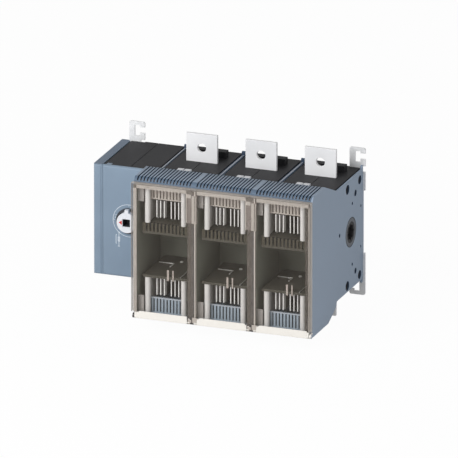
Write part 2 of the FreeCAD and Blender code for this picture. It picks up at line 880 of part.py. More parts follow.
def drive_front_cover():
    """The drive's front shell with the cup that carries the selector."""
    shell = rounded_front((drive_x, poles_x), drive_depth, drive_split)
    inner_height = rear_half_height - cover_wall
    hollow = box((drive_x + cover_wall, poles_x - cover_wall),
                 (-drive_depth + drive_wall, -drive_split + 1), (-inner_height, inner_height))
    shell = shell.cut(hollow)
    cup = rod_y(collar_radius, -drive_depth + 1, -cup_floor_back, selector_x, shaft_height)
    boss_radius_out = input_shaft_radius + bush_wall + cover_wall
    boss = rod_y(boss_radius_out, -cup_floor_front, -boss_back, selector_x, shaft_height)
    shell = join([shell, cup, boss, snap_tab(1, 0), snap_tab(-1, 0)])
    mouth = rod_y(disc_radius + disc_gap, -drive_depth - 1, -cup_floor_front, selector_x, shaft_height)
    bore = rod_y(input_shaft_radius + bush_wall + running_gap, -cup_floor_front - 1, -boss_back + 1,
                 selector_x, shaft_height)
    return shell.cut([mouth, bore])


def drive_side_cap():
    """The narrow cap on the drive's left end, open towards the drive."""
    cap = rounded_front((left_x, drive_x), drive_depth, 0)
    inner_height = rear_half_height - cover_wall
    hollow = box((left_x + cover_wall, drive_x + 1), (-drive_depth + drive_wall, -base_back_wall),
                 (-inner_height, inner_height))
    return cap.cut([hollow] + bracket_recesses())


def selector_collar():
    """The dark ring round the selector disc, on the drive's front."""
    ring = rod_y(collar_radius, -drive_depth - collar_proud, -drive_depth, selector_x, shaft_height)
    mouth = rod_y(disc_radius + disc_gap, -drive_depth - collar_proud - 1, -drive_depth + 1,
                  selector_x, shaft_height)
    return ring.cut(mouth)


def selector_disc():
    """The white disc with the nib at its top, and a square hole for the socket."""
    disc = rod_y(disc_radius, -disc_front, -disc_back, selector_x, shaft_height)
    nib = box((selector_x - nib_width / 2, selector_x + nib_width / 2),
              (-disc_front, -disc_front + nib_thickness),
              (shaft_height + disc_radius - 1, shaft_height + disc_radius + nib_reach))
    half = shaft_square / 2 + socket_wall
    hole = box((selector_x - half, selector_x + half), (-disc_front - 1, -disc_back + 1),
               (shaft_height - half, shaft_height + half))
    return join([disc, nib]).cut(hole)


def selector_pointer():
    """The red triangle on the disc that points to the left when the switch is off."""
    y = -disc_front - pointer_thickness
    tip = vector(selector_x - pointer_tip, y, shaft_height)
    high = vector(selector_x - pointer_base, y, shaft_height + pointer_half_width)
    low = vector(selector_x - pointer_base, y, shaft_height - pointer_half_width)
    face = Part.Face(Part.makePolygon([tip, high, low, tip]))
    return face.extrude(vector(0, pointer_thickness, 0))


def selector_socket():
    """The square socket for the handle's shaft."""
    outer = shaft_square / 2 + socket_wall
    inner = shaft_square / 2
    front = -disc_front - socket_proud
    body = box((selector_x - outer, selector_x + outer), (front, -cup_floor_front - swing_gap),
               (shaft_height - outer, shaft_height + outer))
    neck = rod_y(input_shaft_radius, -cup_floor_front - swing_gap - 1, -socket_floor + socket_wall,
                 selector_x, shaft_height)
    floor = -cup_floor_front - swing_gap - socket_wall
    hole = box((selector_x - inner, selector_x + inner), (front - 1, floor),
               (shaft_height - inner, shaft_height + inner))
    return join([body, neck]).cut(hole)


def input_shaft():
    """The shaft from the selector back to its mitre gear."""
    back = shaft_y - gear_apex_distance() * (1 - gear_face)
    return rod_y(input_shaft_radius, -socket_floor + socket_wall, back, selector_x, shaft_height)


def input_bush():
    """The bush that the input shaft turns in."""
    ring = rod_y(input_shaft_radius + bush_wall, -cup_floor_front, -boss_back, selector_x, shaft_height)
    bore = rod_y(input_shaft_radius + running_gap, -cup_floor_front - 1, -boss_back + 1,
                 selector_x, shaft_height)
    return ring.cut(bore)


def gear_apex_distance():
    """From the apex to the pitch circle's plane, which is also the pitch radius."""
    return gear_module * gear_teeth / 2


def mitre_gear(bore, phase):
    """A mitre gear with its apex at the origin and its axis along +Z."""
    pitch = gear_apex_distance()
    drop = gear_dedendum / math.sqrt(2)
    small = 1 - gear_face
    root_out = vector(pitch - drop, 0, pitch + drop)
    outline = [
        vector(bore, 0, small * root_out.z), vector(small * root_out.x, 0, small * root_out.z), root_out,
        vector(gear_hub_radius, 0, gear_back - gear_rim), vector(gear_hub_radius, 0, gear_back),
        vector(bore, 0, gear_back), vector(bore, 0, small * root_out.z),
    ]
    face = Part.Face(Part.makePolygon(outline))
    body = face.revolve(vector(0, 0, 0), vector(0, 0, 1), 360)
    teeth = []
    half_pitch = math.pi * gear_module / 4 - gear_backlash / 2
    low = -gear_dedendum - tooth_sink
    for step in range(gear_teeth):
        angle = math.radians(phase) + 2 * math.pi * step / gear_teeth
        radial = vector(math.cos(angle), math.sin(angle), 0)
        across = vector(-math.sin(angle), math.cos(angle), 0)
        pitch_point = radial * pitch + vector(0, 0, pitch)
        rise = (radial - vector(0, 0, 1)) * (1 / math.sqrt(2))
        quad = []
        for height, sign in ((low, -1), (low, 1), (gear_addendum, 1), (gear_addendum, -1)):
            half = half_pitch - pressure_slope * height
            quad.append(pitch_point + rise * height + across * (sign * half))
        teeth.append(tapered_block(quad, small))
    return join([body] + teeth)


def tapered_block(quad, scale):
    """A block from a four-cornered face and its smaller copy towards the origin."""
    near = [point * scale for point in quad]
    faces = [Part.Face(Part.makePolygon(quad + [quad[0]])), Part.Face(Part.makePolygon(near + [near[0]]))]
    for index in range(4):
        following = (index + 1) % 4
        ring = [quad[index], quad[following], near[following], near[index], quad[index]]
        faces.append(Part.Face(Part.makePolygon(ring)))
    solid = Part.makeSolid(Part.makeShell(faces))
    if solid.Volume < 0:
        solid.reverse()
    return solid


def bevel_gear_input():
    """The gear on the input shaft, its axis towards the front."""
    gear = mitre_gear(input_shaft_radius, 0)
    gear.rotate(vector(0, 0, 0), vector(1, 0, 0), 90)
    gear.translate(vector(selector_x, shaft_y, shaft_height))
    return gear


def bevel_gear_shaft():
    """The gear on the switch shaft, its axis towards the poles."""
    gear = mitre_gear(shaft_round_radius, 0)
    gear.rotate(vector(0, 0, 0), vector(0, 0, 1), 180 / gear_teeth)
    gear.rotate(vector(0, 0, 0), vector(0, 1, 0), 90)
    gear.translate(vector(selector_x, shaft_y, shaft_height))
    return gear


def switch_shaft():
    """The square shaft through all poles, round where the drive carries it."""
    start = selector_x + gear_apex_distance() * (1 - gear_face)
    finish = right_x - coupling_recess - coupling_length + coupling_floor
    half = shaft_square / 2
    journal = rod_x(shaft_round_radius, start, poles_x + swing_gap / 2, shaft_y, shaft_height)
    bar = box((poles_x, finish), (shaft_y - half, shaft_y + half),
              (shaft_height - half, shaft_height + half))
    return join([journal, bar])


def shaft_bearing():
    """The flanged bush in the drive's right wall."""
    inner = shaft_round_radius + running_gap
    outer = shaft_round_radius + bearing_wall
    sleeve = rod_x(outer, poles_x - drive_wall, poles_x, shaft_y, shaft_height)
    start = poles_x - drive_wall - bearing_flange
    flange = rod_x(outer + flange_extra, start, poles_x - drive_wall, shaft_y, shaft_height)
    return join([sleeve, flange]).cut(rod_x(inner, start - 1, poles_x + 1, shaft_y, shaft_height))


def half_coil(x, side):
    """Half a turn of the drive spring, leaning from X = x towards its next half turn."""
    start = vector(x, shaft_y, shaft_height + side * spring_radius)
    middle = vector(x + spring_pitch / 4, shaft_y, shaft_height)
    axis = vector(spring_radius, 0, side * spring_pitch / 4).normalize()
    section = Part.Face(Part.Wire(Part.makeCircle(spring_wire / 2, start, vector(0, 1, 0))))
    return section.revolve(middle, axis, 180)


def drive_spring():
    """A coil spring round the shaft with one leg against the tub's back wall."""
    start = poles_x - drive_wall - bearing_flange - spring_wire - seat_gap - spring_turns * spring_pitch
    pieces = [rod_y(spring_wire / 2, shaft_y, -base_back_wall, start, shaft_height + spring_radius)]
    for step in range(2 * spring_turns):
        pieces.append(half_coil(start + step * spring_pitch / 2, 1 if step % 2 == 0 else -1))
    return join(pieces)


def coupling_ring():
    """The black ring at the right end, with a star that drives a further unit."""
    finish = right_x - coupling_recess
    start = finish - coupling_length
    hub = rod_x(coupling_radius, start, finish, shaft_y, shaft_height)
    flange = rod_x(coupling_flange_radius, start, start + coupling_flange, shaft_y, shaft_height)
    star = side_plate(start + coupling_floor, finish + 1, plain(star_corners(star_outer, star_inner)))
    half = shaft_square / 2 + shaft_play
    hole = box((start - 1, finish), (shaft_y - half, shaft_y + half),
               (shaft_height - half, shaft_height + half))
    return join([hub, flange]).cut([star, hole])


# The fuse cover


def fuse_cover():
    """The clear cover over all fuse bays, open at the back."""
    left = poles_x - cover_left_overhang
    outer = box((left, right_x), (-cover_front, -front_depth - cover_air), (-cover_bottom, cover_top))
    hollow = box((left + cover_thickness, right_x - cover_thickness),
                 (-cover_front + cover_thickness, -front_depth + 1),
                 (-cover_bottom - 1, cover_top - cover_thickness))
    shell = outer.cut(hollow)
    ribs = []
    for index in range(1, pole_count):
        for side in (1, -1):
            x = pole_left(index) + side * cover_rib_offset
            ribs.append(box((x - cover_rib_thickness / 2, x + cover_rib_thickness / 2),
                            (-cover_front + 1, -front_depth - cover_air),
                            (-cover_bottom, cover_top - 1)))
    return join([shell] + ribs)


def hinge_rail(index):
    """The pale bottom rail of the cover over one pole, bored for its pins."""
    x0 = pole_left(index) + half_partition + hinge_side_gap
    x1 = pole_left(index + 1) - half_partition - hinge_side_gap
    bar = rod_x(hinge_rail_radius, x0, x1, -hinge_depth, -hinge_drop)
    plate = box((x0, x1), (-cover_front, -hinge_depth + 1), (-hinge_drop, -cover_bottom))
    hole = rod_x(hinge_pin_radius + running_gap, x0 - 1, x1 + 1, -hinge_depth, -hinge_drop)
    return join([bar, plate]).cut(hole)


def hinge_pin(index):
    """A steel pin in the ear at one boundary, reaching into the rails beside it."""
    boundary = pole_left(index)
    x0 = boundary if index == 0 else boundary - hinge_pin_reach
    x1 = boundary if index == pole_count else boundary + hinge_pin_reach
    return rod_x(hinge_pin_radius, x0, x1, -hinge_depth, -hinge_drop)


# Fasteners and brackets


def hexagon_nut(x0, x1, y, z):
    corners = [(y + nut_radius * math.cos(math.pi * step / 3), z + nut_radius * math.sin(math.pi * step / 3))
               for step in range(6)]
    return side_plate(x0, x1, plain(corners))


def tie_rod(y, z):
    """A rod through the drive and all poles, with a nut inside each end."""
    start = drive_x + drive_wall
    finish = right_x - half_partition - base_wall
    rod = rod_x(rod_radius, start, finish, y, z)
    return join([rod, hexagon_nut(start, start + nut_length, y, z),
                 hexagon_nut(finish - nut_length, finish, y, z)])


def bracket(centre, side, lift):
    """A flat mounting plate with a hooked slot, open to the right on the upper ones."""
    half = bracket_width / 2
    across = (-bracket_thickness, 0)
    strip = box((-half, half), across, (bracket_strip_low, bracket_strip_high))
    neck = box((-half, bracket_neck_width - half), across, (bracket_strip_high - 1, bracket_foot_low + 1))
    foot = box((-half, half), across, (bracket_foot_low, bracket_foot_high))
    corners = [edge for edge in foot.Edges
               if all(vertex.Point.z > bracket_foot_high - 1 for vertex in edge.Vertexes)
               and abs(edge.Vertexes[0].Point.x - edge.Vertexes[1].Point.x) < seat_gap]
    plate = join([strip, neck, foot.makeFillet(bracket_corner, corners)])
    through = (-bracket_thickness - 1, 1)
    start = pocket_start - half
    pocket = box((start, start + pocket_width), through, (pocket_low, pocket_high))
    mouth = box((start, half + 1), through, (mouth_low, mouth_high))
    hole = rod_y(screw_radius + running_gap, -bracket_thickness - 1, 1, 0, screw_height)
    sink = Part.makeCone(screw_radius + running_gap, screw_head_radius + running_gap, screw_head_depth,
                         vector(0, -screw_head_depth, screw_height), vector(0, 1, 0))
    plate = plate.cut([pocket, mouth, hole, sink])
    if side < 0:
        plate.rotate(vector(0, 0, 0), vector(0, 1, 0), 180)
    plate.translate(vector(centre, 0, lift))
    return plate


def bracket_screw(x, z):
    """A countersunk screw that holds one bracket."""
    head = Part.makeCone(screw_radius, screw_head_radius, screw_head_depth,
                         vector(x, -screw_head_depth, z), vector(0, 1, 0))
    shank = rod_y(screw_radius, -screw_length, -screw_head_depth, x, z)
    return join([head, shank])


# Write every node

for index in range(pole_count):
    number = str(index + 1)
    save(pole_base(index), "pole_base_" + number)
    save(fuse_housing(index), "fuse_housing_" + number)
    save(terminal(index, 1), "line_terminal_" + number)
    save(terminal(index, -1), "load_terminal_" + number)
    save(contact_drum(index), "contact_drum_" + number)
    save(moving_contacts(index), "moving_contacts_" + number)
    save(fuse_jaw(index, 1), "fuse_jaw_upper_" + number)
    save(fuse_jaw(index, -1), "fuse_jaw_lower_" + number)
    save(contact_carrier(index), "contact_carrier_" + number)
    save(contact_guards(index), "contact_guards_" + number)
    save(partition(index), "partition_" + number)

save(end_wall(), "end_wall")
save(drive_base(), "drive_base")
save(drive_front_cover(), "drive_front_cover")
save(drive_side_cap(), "drive_side_cap")
save(selector_collar(), "selector_collar")
save(selector_disc(), "selector_disc")
save(selector_pointer(), "selector_pointer")
save(selector_socket(), "selector_socket")
save(input_shaft(), "input_shaft")
save(input_bush(), "input_bush")
save(bevel_gear_input(), "bevel_gear_input")
save(bevel_gear_shaft(), "bevel_gear_shaft")
save(switch_shaft(), "switch_shaft")
save(shaft_bearing(), "shaft_bearing")
save(drive_spring(), "drive_spring")
save(coupling_ring(), "coupling_ring")
save(fuse_cover(), "fuse_cover")
save(Part.makeCompound([hinge_rail(index) for index in range(pole_count)]), "cover_hinge_rails")
save(Part.makeCompound([hinge_pin(index) for index in range(pole_count + 1)]), "cover_hinge_pins")
save(Part.makeCompound([jaw_clip(index, side) for index in range(pole_count) for side in (1, -1)]),
     "jaw_springs")
save(Part.makeCompound([pole_marker(index) for index in range(pole_count)]), "pole_markers")
save(Part.makeCompound([tie_rod(y, z) for y, z in rods]), "tie_rods")
for name, centre, side, lift in bracket_frames():
    save(bracket(centre, side, lift), name)
save(Part.makeCompound([bracket_screw(x, z) for x, z in screw_places()]), "bracket_screws")
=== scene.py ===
"""Looks of a fuse switch disconnector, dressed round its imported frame.

The frame gives every solid in its place. This script copies the solids that show, rounds their
edges, adds the small mouldings, fasteners and prints that belong to them, and gives each one a
finish. All lengths are in metres; X runs right, +Y back to the wall, Z up.
"""

import logging
import math
from dataclasses import dataclass
from enum import Enum
from functools import cache, cached_property
from typing import Any, Callable, NamedTuple, Sequence

import bmesh
import bpy
from mathutils import Matrix, Vector


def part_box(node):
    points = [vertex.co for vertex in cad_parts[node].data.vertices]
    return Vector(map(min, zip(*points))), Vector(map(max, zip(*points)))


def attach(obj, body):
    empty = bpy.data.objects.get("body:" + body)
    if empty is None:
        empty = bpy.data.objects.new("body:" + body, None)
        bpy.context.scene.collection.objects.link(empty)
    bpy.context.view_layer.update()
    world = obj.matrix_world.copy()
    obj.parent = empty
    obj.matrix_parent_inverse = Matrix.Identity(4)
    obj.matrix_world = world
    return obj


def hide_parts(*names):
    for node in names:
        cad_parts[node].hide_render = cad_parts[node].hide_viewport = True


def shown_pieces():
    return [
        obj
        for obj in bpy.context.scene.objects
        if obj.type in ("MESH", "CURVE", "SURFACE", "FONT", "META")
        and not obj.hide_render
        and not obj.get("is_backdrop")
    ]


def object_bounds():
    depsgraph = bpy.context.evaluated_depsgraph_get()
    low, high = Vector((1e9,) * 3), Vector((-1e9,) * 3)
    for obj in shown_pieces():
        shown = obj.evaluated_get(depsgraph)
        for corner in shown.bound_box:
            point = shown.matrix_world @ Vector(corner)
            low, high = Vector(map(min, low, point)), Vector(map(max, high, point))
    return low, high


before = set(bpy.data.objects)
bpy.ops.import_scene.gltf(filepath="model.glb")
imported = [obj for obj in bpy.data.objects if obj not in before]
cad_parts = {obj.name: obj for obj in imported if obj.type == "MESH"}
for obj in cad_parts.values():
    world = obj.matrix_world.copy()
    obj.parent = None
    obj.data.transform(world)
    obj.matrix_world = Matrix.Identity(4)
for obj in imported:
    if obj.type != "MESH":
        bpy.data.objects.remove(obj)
CAD_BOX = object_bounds()

LOG = logging.getLogger("fuse_switch")
MM = 0.001
POLES = (1, 2, 3)
QUARTER = math.radians(90.0)
X_AXIS = (1.0, 0.0, 0.0)
Y_AXIS = (0.0, 1.0, 0.0)
Z_AXIS = (0.0, 0.0, 1.0)
FORWARD = (0.0, -1.0, 0.0)

# How a mesh is read and rounded: angles between faces, gaps between points, parts of a normal
CRISP_ANGLE = math.radians(32.0)
SHARP_ANGLE = math.radians(28.0)
FLAT_ANGLE = math.radians(0.5)
ROUNDING_FACES = 2
MERGE_GAP = 0.002 * MM
CUT_GAP = 0.001 * MM
SPIN_GAP = 0.0001 * MM
FACING = 0.9
LEANING = 0.2

# The middle of a noise, the stretches that draw it out into lines, and how strongly plastic bends light
NOISE_MIDDLE = 0.5
LINES_ALONG_X = (0.04, 1.0, 1.0)
LINES_ALONG_Z = (1.0, 1.0, 0.04)
PLASTIC_IOR = 1.5

Pair = tuple[float, float]
Point = tuple[float, float, float]
Quad = tuple[float, float, float, float]
Colour = Quad
Face = bpy.types.MeshPolygon


def rgb(red: int, green: int, blue: int) -> Colour:
    """Turn a colour as the eye reads it on a screen into linear light.

    Args:
        red, green, blue: The colour's parts from 0 to 255.

    Returns:
        The linear colour with full alpha.
    """
    toe, slope, offset, power = 0.04045, 12.92, 0.055, 2.4
    parts = [part / 255 for part in (red, green, blue)]
    linear = [part / slope if part <= toe else ((part + offset) / (1 + offset)) ** power for part in parts]
    return (linear[0], linear[1], linear[2], 1.0)


def scaled(colour: Colour, amount: float) -> Colour:
    """A colour made lighter or darker by a factor."""
    return (min(colour[0] * amount, 1.0), min(colour[1] * amount, 1.0), min(colour[2] * amount, 1.0), 1.0)


class Body(Enum):
    """The moving bodies of the frame."""

    HOUSING = "housing"
    ROTOR = "switch_rotor"
    SELECTOR = "selector"
    COVER = "cover"


class Slot(Enum):
    """The names of the record's material slots."""

    BLACK = "black_plastic"
    BLUE_GREY = "blue_grey_plastic"
    DRIVE_FRONT = "drive_front_plastic"
    DARK = "dark_plastic"
    WHITE = "white_plastic"
    RED = "red_plastic"
    FROSTED = "frosted_plastic"
    SMOKY = "smoky_clear_plastic"
    PALE = "pale_plastic"
    TINNED = "tinned_copper"
    SILVERED = "silvered_copper"
    STEEL = "steel"
    SPRING = "spring_steel"
    ZINC = "zinc_plate"


# Shader building


@dataclass(frozen=True)
class Wire:
    """One output of a shader node, usable in arithmetic with numbers and other wires."""

    shader: "Shader"
    socket: bpy.types.NodeSocket

    def _with(self, operation: str, first: "Wire | float", second: "Wire | float") -> "Wire":
        """Add one Math node."""
        node = self.shader.node("ShaderNodeMath", {"operation": operation}, {0: first, 1: second})
        return Wire(self.shader, node.outputs[0])

    def __add__(self, other: "Wire | float") -> "Wire":
        """Sum with the right operand."""
        return self._with("ADD", self, other)

    def __radd__(self, other: float) -> "Wire":
        """Sum with the left operand."""
        return self._with("ADD", other, self)

    def __sub__(self, other: "Wire | float") -> "Wire":
        """Difference from the right operand."""
        return self._with("SUBTRACT", self, other)

    def __rsub__(self, other: float) -> "Wire":
        """Difference from the left operand."""
        return self._with("SUBTRACT", other, self)

    def __mul__(self, other: "Wire | float") -> "Wire":
        """Product with the right operand."""
        return self._with("MULTIPLY", self, other)

    def __rmul__(self, other: float) -> "Wire":
        """Product with the left operand."""
        return self._with("MULTIPLY", other, self)


class Shader:
    """The nodes of a new material or of the world."""

    def __init__(self, owner: bpy.types.Material | bpy.types.World) -> None:
        """Start with no nodes.

        Args:
            owner: The material or world that the nodes belong to.
        """
        self.owner = owner
        owner.use_nodes = True
        self.tree = owner.node_tree
        self.tree.nodes.clear()

    @classmethod
    def named(cls, name: str) -> "Shader":
        """Start a new material."""
        return cls(bpy.data.materials.new(name))

    @cached_property
    def place(self) -> bpy.types.NodeSocket:
        """The point on the object's own coordinates."""
        return self.node("ShaderNodeTexCoord", {}, {}).outputs["Object"]

    def node(self, kind: str, settings: dict[str, Any], inputs: dict[Any, Any]) -> bpy.types.Node:
        """Add any node.

        Args:
            kind: The node's type.
            settings: Attributes that are set first.
            inputs: Values, wires or sockets, by the name or number of the input.

        Returns:
            The node.
        """
        made = self.tree.nodes.new(kind)
        for key, value in settings.items():
            setattr(made, key, value)
        for key, value in inputs.items():
            source = value.socket if isinstance(value, Wire) else value
            if isinstance(source, bpy.types.NodeSocket):
                self.tree.links.new(source, made.inputs[key])
            else:
                made.inputs[key].default_value = source
        return made

    def noise(self, scale: float, detail: float = 2.0, stretch: Point = (1.0, 1.0, 1.0)) -> Wire:
        """Noise from 0 to 1 on the object's own coordinates.

        Args:
            scale: Features per metre.
            detail: Octaves of finer noise.
            stretch: How much each axis is multiplied before the noise is read.

        Returns:
            The noise value.
        """
        octave_share = 0.55
        mapping = self.node("ShaderNodeMapping", {}, {"Vector": self.place, "Scale": stretch})
        made = self.node("ShaderNodeTexNoise", {}, {"Vector": mapping.outputs[0], "Scale": scale,
                                                    "Detail": detail, "Roughness": octave_share})
        return Wire(self, made.outputs[0])

    def blend(self, factor: Wire, first: Colour, second: Colour) -> bpy.types.NodeSocket:
        """Mix two colours by a factor from 0 to 1.

        Args:
            factor: The second colour's share.
            first: The first colour.
            second: The second colour.

        Returns:
            The mixed colour.
        """
        factor_input, first_input, second_input, colour_output = 0, 6, 7, 2
        made = self.node("ShaderNodeMix", {"data_type": "RGBA"},
                         {factor_input: factor, first_input: first, second_input: second})
        return made.outputs[colour_output]

    def bump(self, height: Wire, depth: float) -> bpy.types.NodeSocket:
        """A normal from a height in units of depth, in metres."""
        made = self.node("ShaderNodeBump", {}, {"Height": height, "Distance": depth, "Strength": 1.0})
        return made.outputs[0]

    def in_view(self) -> Wire:
        """One for rays from the camera, through clear parts and off gloss, and zero for the rest.

        Returns:
            The value.
        """
        path = self.node("ShaderNodeLightPath", {}, {})
        seen = path.outputs["Is Camera Ray"]
        for kind in ("Is Transmission Ray", "Is Glossy Ray"):
            higher = self.node("ShaderNodeMath", {"operation": "MAXIMUM"}, {0: seen, 1: path.outputs[kind]})
            seen = higher.outputs[0]
        return Wire(self, seen)

    def close(self, kind: str, last: bpy.types.Node) -> None:
        """Add the output node after the last node."""
        self.node(kind, {}, {0: last.outputs[0]})

    def surface(self, inputs: dict[str, Any]) -> bpy.types.Material:
        """Close the material with a Principled surface.

        Args:
            inputs: Values or wires for the surface's inputs.

        Returns:
            The material.
        """
        self.close("ShaderNodeOutputMaterial", self.node("ShaderNodeBsdfPrincipled", {}, inputs))
        return self.owner


@dataclass(frozen=True)
class Finish:
    """A finish of some of the object's surfaces."""

    name: str
    colour: Colour

    def material(self) -> bpy.types.Material:
        """Build the material, which each kind of finish does in its own way."""
        raise NotImplementedError


@dataclass(frozen=True)
class MouldedPlastic(Finish):
    """Spark-eroded moulded plastic: a fine grain, a faint cloudiness and a satin sheen."""

    roughness: float = 0.42
    cloud: float = 0.06
    # Painted light: how much lighter the colour grows per metre upwards
    painted_top_light: float = 0.0
    gloss: float = 0.12
    cloud_scale: float = 14.0
    cloud_detail: float = 3.0
    cloud_sheen: float = 0.08
    grain_scale: float = 1400.0
    grain_depth: float = 0.06 * MM
    grain_sheen: float = 0.16

    def material(self) -> bpy.types.Material:
        """Build the material, with painted light that makes it lighter towards its top.

        Returns:
            The material.
        """
        shader = Shader.named(self.name)
        cloud = shader.noise(self.cloud_scale, self.cloud_detail)
        grain = shader.noise(self.grain_scale)
        # Painted light: the colour is mixed lighter the higher the point lies
        height = shader.node("ShaderNodeSeparateXYZ", {}, {0: shader.place}).outputs["Z"]
        tone = cloud + Wire(shader, height) * self.painted_top_light
        shade = shader.blend(tone, scaled(self.colour, 1 - self.cloud), scaled(self.colour, 1 + self.cloud))
        rough = ((grain - NOISE_MIDDLE) * self.grain_sheen + (cloud - NOISE_MIDDLE) * self.cloud_sheen
                 + self.roughness)
        return shader.surface({"Base Color": shade, "Roughness": rough, "IOR": PLASTIC_IOR,
                               "Specular IOR Level": self.gloss,
                               "Normal": shader.bump(grain, self.grain_depth)})


@dataclass(frozen=True)
class PlatedMetal(Finish):
    """Plated sheet or bar: faint drawing lines along one axis, and a cloudy sheen."""

    roughness: float = 0.3
    metallic: float = 0.9
    lines: Point = LINES_ALONG_Z
    line_scale: float = 1800.0
    line_depth: float = 0.03 * MM
    line_sheen: float = 0.14
    cloud_scale: float = 30.0
    cloud_detail: float = 4.0
    cloud_sheen: float = 0.18
    darkest: float = 0.92
    lightest: float = 1.05

    def material(self) -> bpy.types.Material:
        """Build the material.

        Returns:
            The material.
        """
        shader = Shader.named(self.name)
        cloud = shader.noise(self.cloud_scale, self.cloud_detail)
        lines = shader.noise(self.line_scale, stretch=self.lines)
        shade = shader.blend(cloud, scaled(self.colour, self.darkest), scaled(self.colour, self.lightest))
        rough = ((cloud - NOISE_MIDDLE) * self.cloud_sheen + (lines - NOISE_MIDDLE) * self.line_sheen
                 + self.roughness)
        return shader.surface({"Base Color": shade, "Roughness": rough, "Metallic": self.metallic,
                               "Normal": shader.bump(lines, self.line_depth)})


@dataclass(frozen=True)
class SpangledZinc(Finish):
    """Galvanised sheet: pale zinc with flakes of slightly different grey."""

    roughness: float = 0.36
    metallic: float = 0.15
    flake_scale: float = 260.0
    flake_depth: float = 0.02 * MM
    flake_sheen: float = 0.1
    darkest: float = 0.96
    lightest: float = 1.03

    def material(self) -> bpy.types.Material:
        """Build the material.

        Returns:
            The material.
        """
        shader = Shader.named(self.name)
        flakes = shader.node("ShaderNodeTexVoronoi", {}, {"Vector": shader.place, "Scale": self.flake_scale})
        tone = shader.node("ShaderNodeSeparateColor", {}, {0: flakes.outputs["Color"]})
        value = Wire(shader, tone.outputs[0])
        shade = shader.blend(value, scaled(self.colour, self.darkest), scaled(self.colour, self.lightest))
        return shader.surface({"Base Color": shade, "Roughness": value * self.flake_sheen + self.roughness,
                               "Metallic": self.metallic, "Normal": shader.bump(value, self.flake_depth)})


@dataclass(frozen=True)
class ClearPlastic(Finish):
    """Clear moulded plastic, seen through by its alpha, with a faintly rippled face."""

    alpha: float
    roughness: float = 0.12
    ripple_scale: float = 60.0
    ripple_detail: float = 1.0
    ripple_depth: float = 0.04 * MM
    ripple_veil: float = 0.06

    def material(self) -> bpy.types.Material:
        """Build the material.

        Returns:
            The material.
        """
        shader = Shader.named(self.name)
        ripple = shader.noise(self.ripple_scale, self.ripple_detail)
        veil = (ripple - NOISE_MIDDLE) * self.ripple_veil + self.alpha
        return shader.surface({"Base Color": self.colour, "Roughness": self.roughness, "Alpha": veil,
                               "IOR": PLASTIC_IOR, "Normal": shader.bump(ripple, self.ripple_depth)})


@dataclass(frozen=True)
class Ink(Finish):
    """Printed ink: flat, with a slightly uneven gloss."""

    roughness: float = 0.4
    patch_scale: float = 900.0
    patch_sheen: float = 0.1
    darkest: float = 0.96

    def material(self) -> bpy.types.Material:
        """Build the material.

        Returns:
            The material.
        """
        shader = Shader.named(self.name)
        patch = shader.noise(self.patch_scale)
        shade = shader.blend(patch, scaled(self.colour, self.darkest), self.colour)
        return shader.surface({"Base Color": shade, "Roughness": patch * self.patch_sheen + self.roughness})


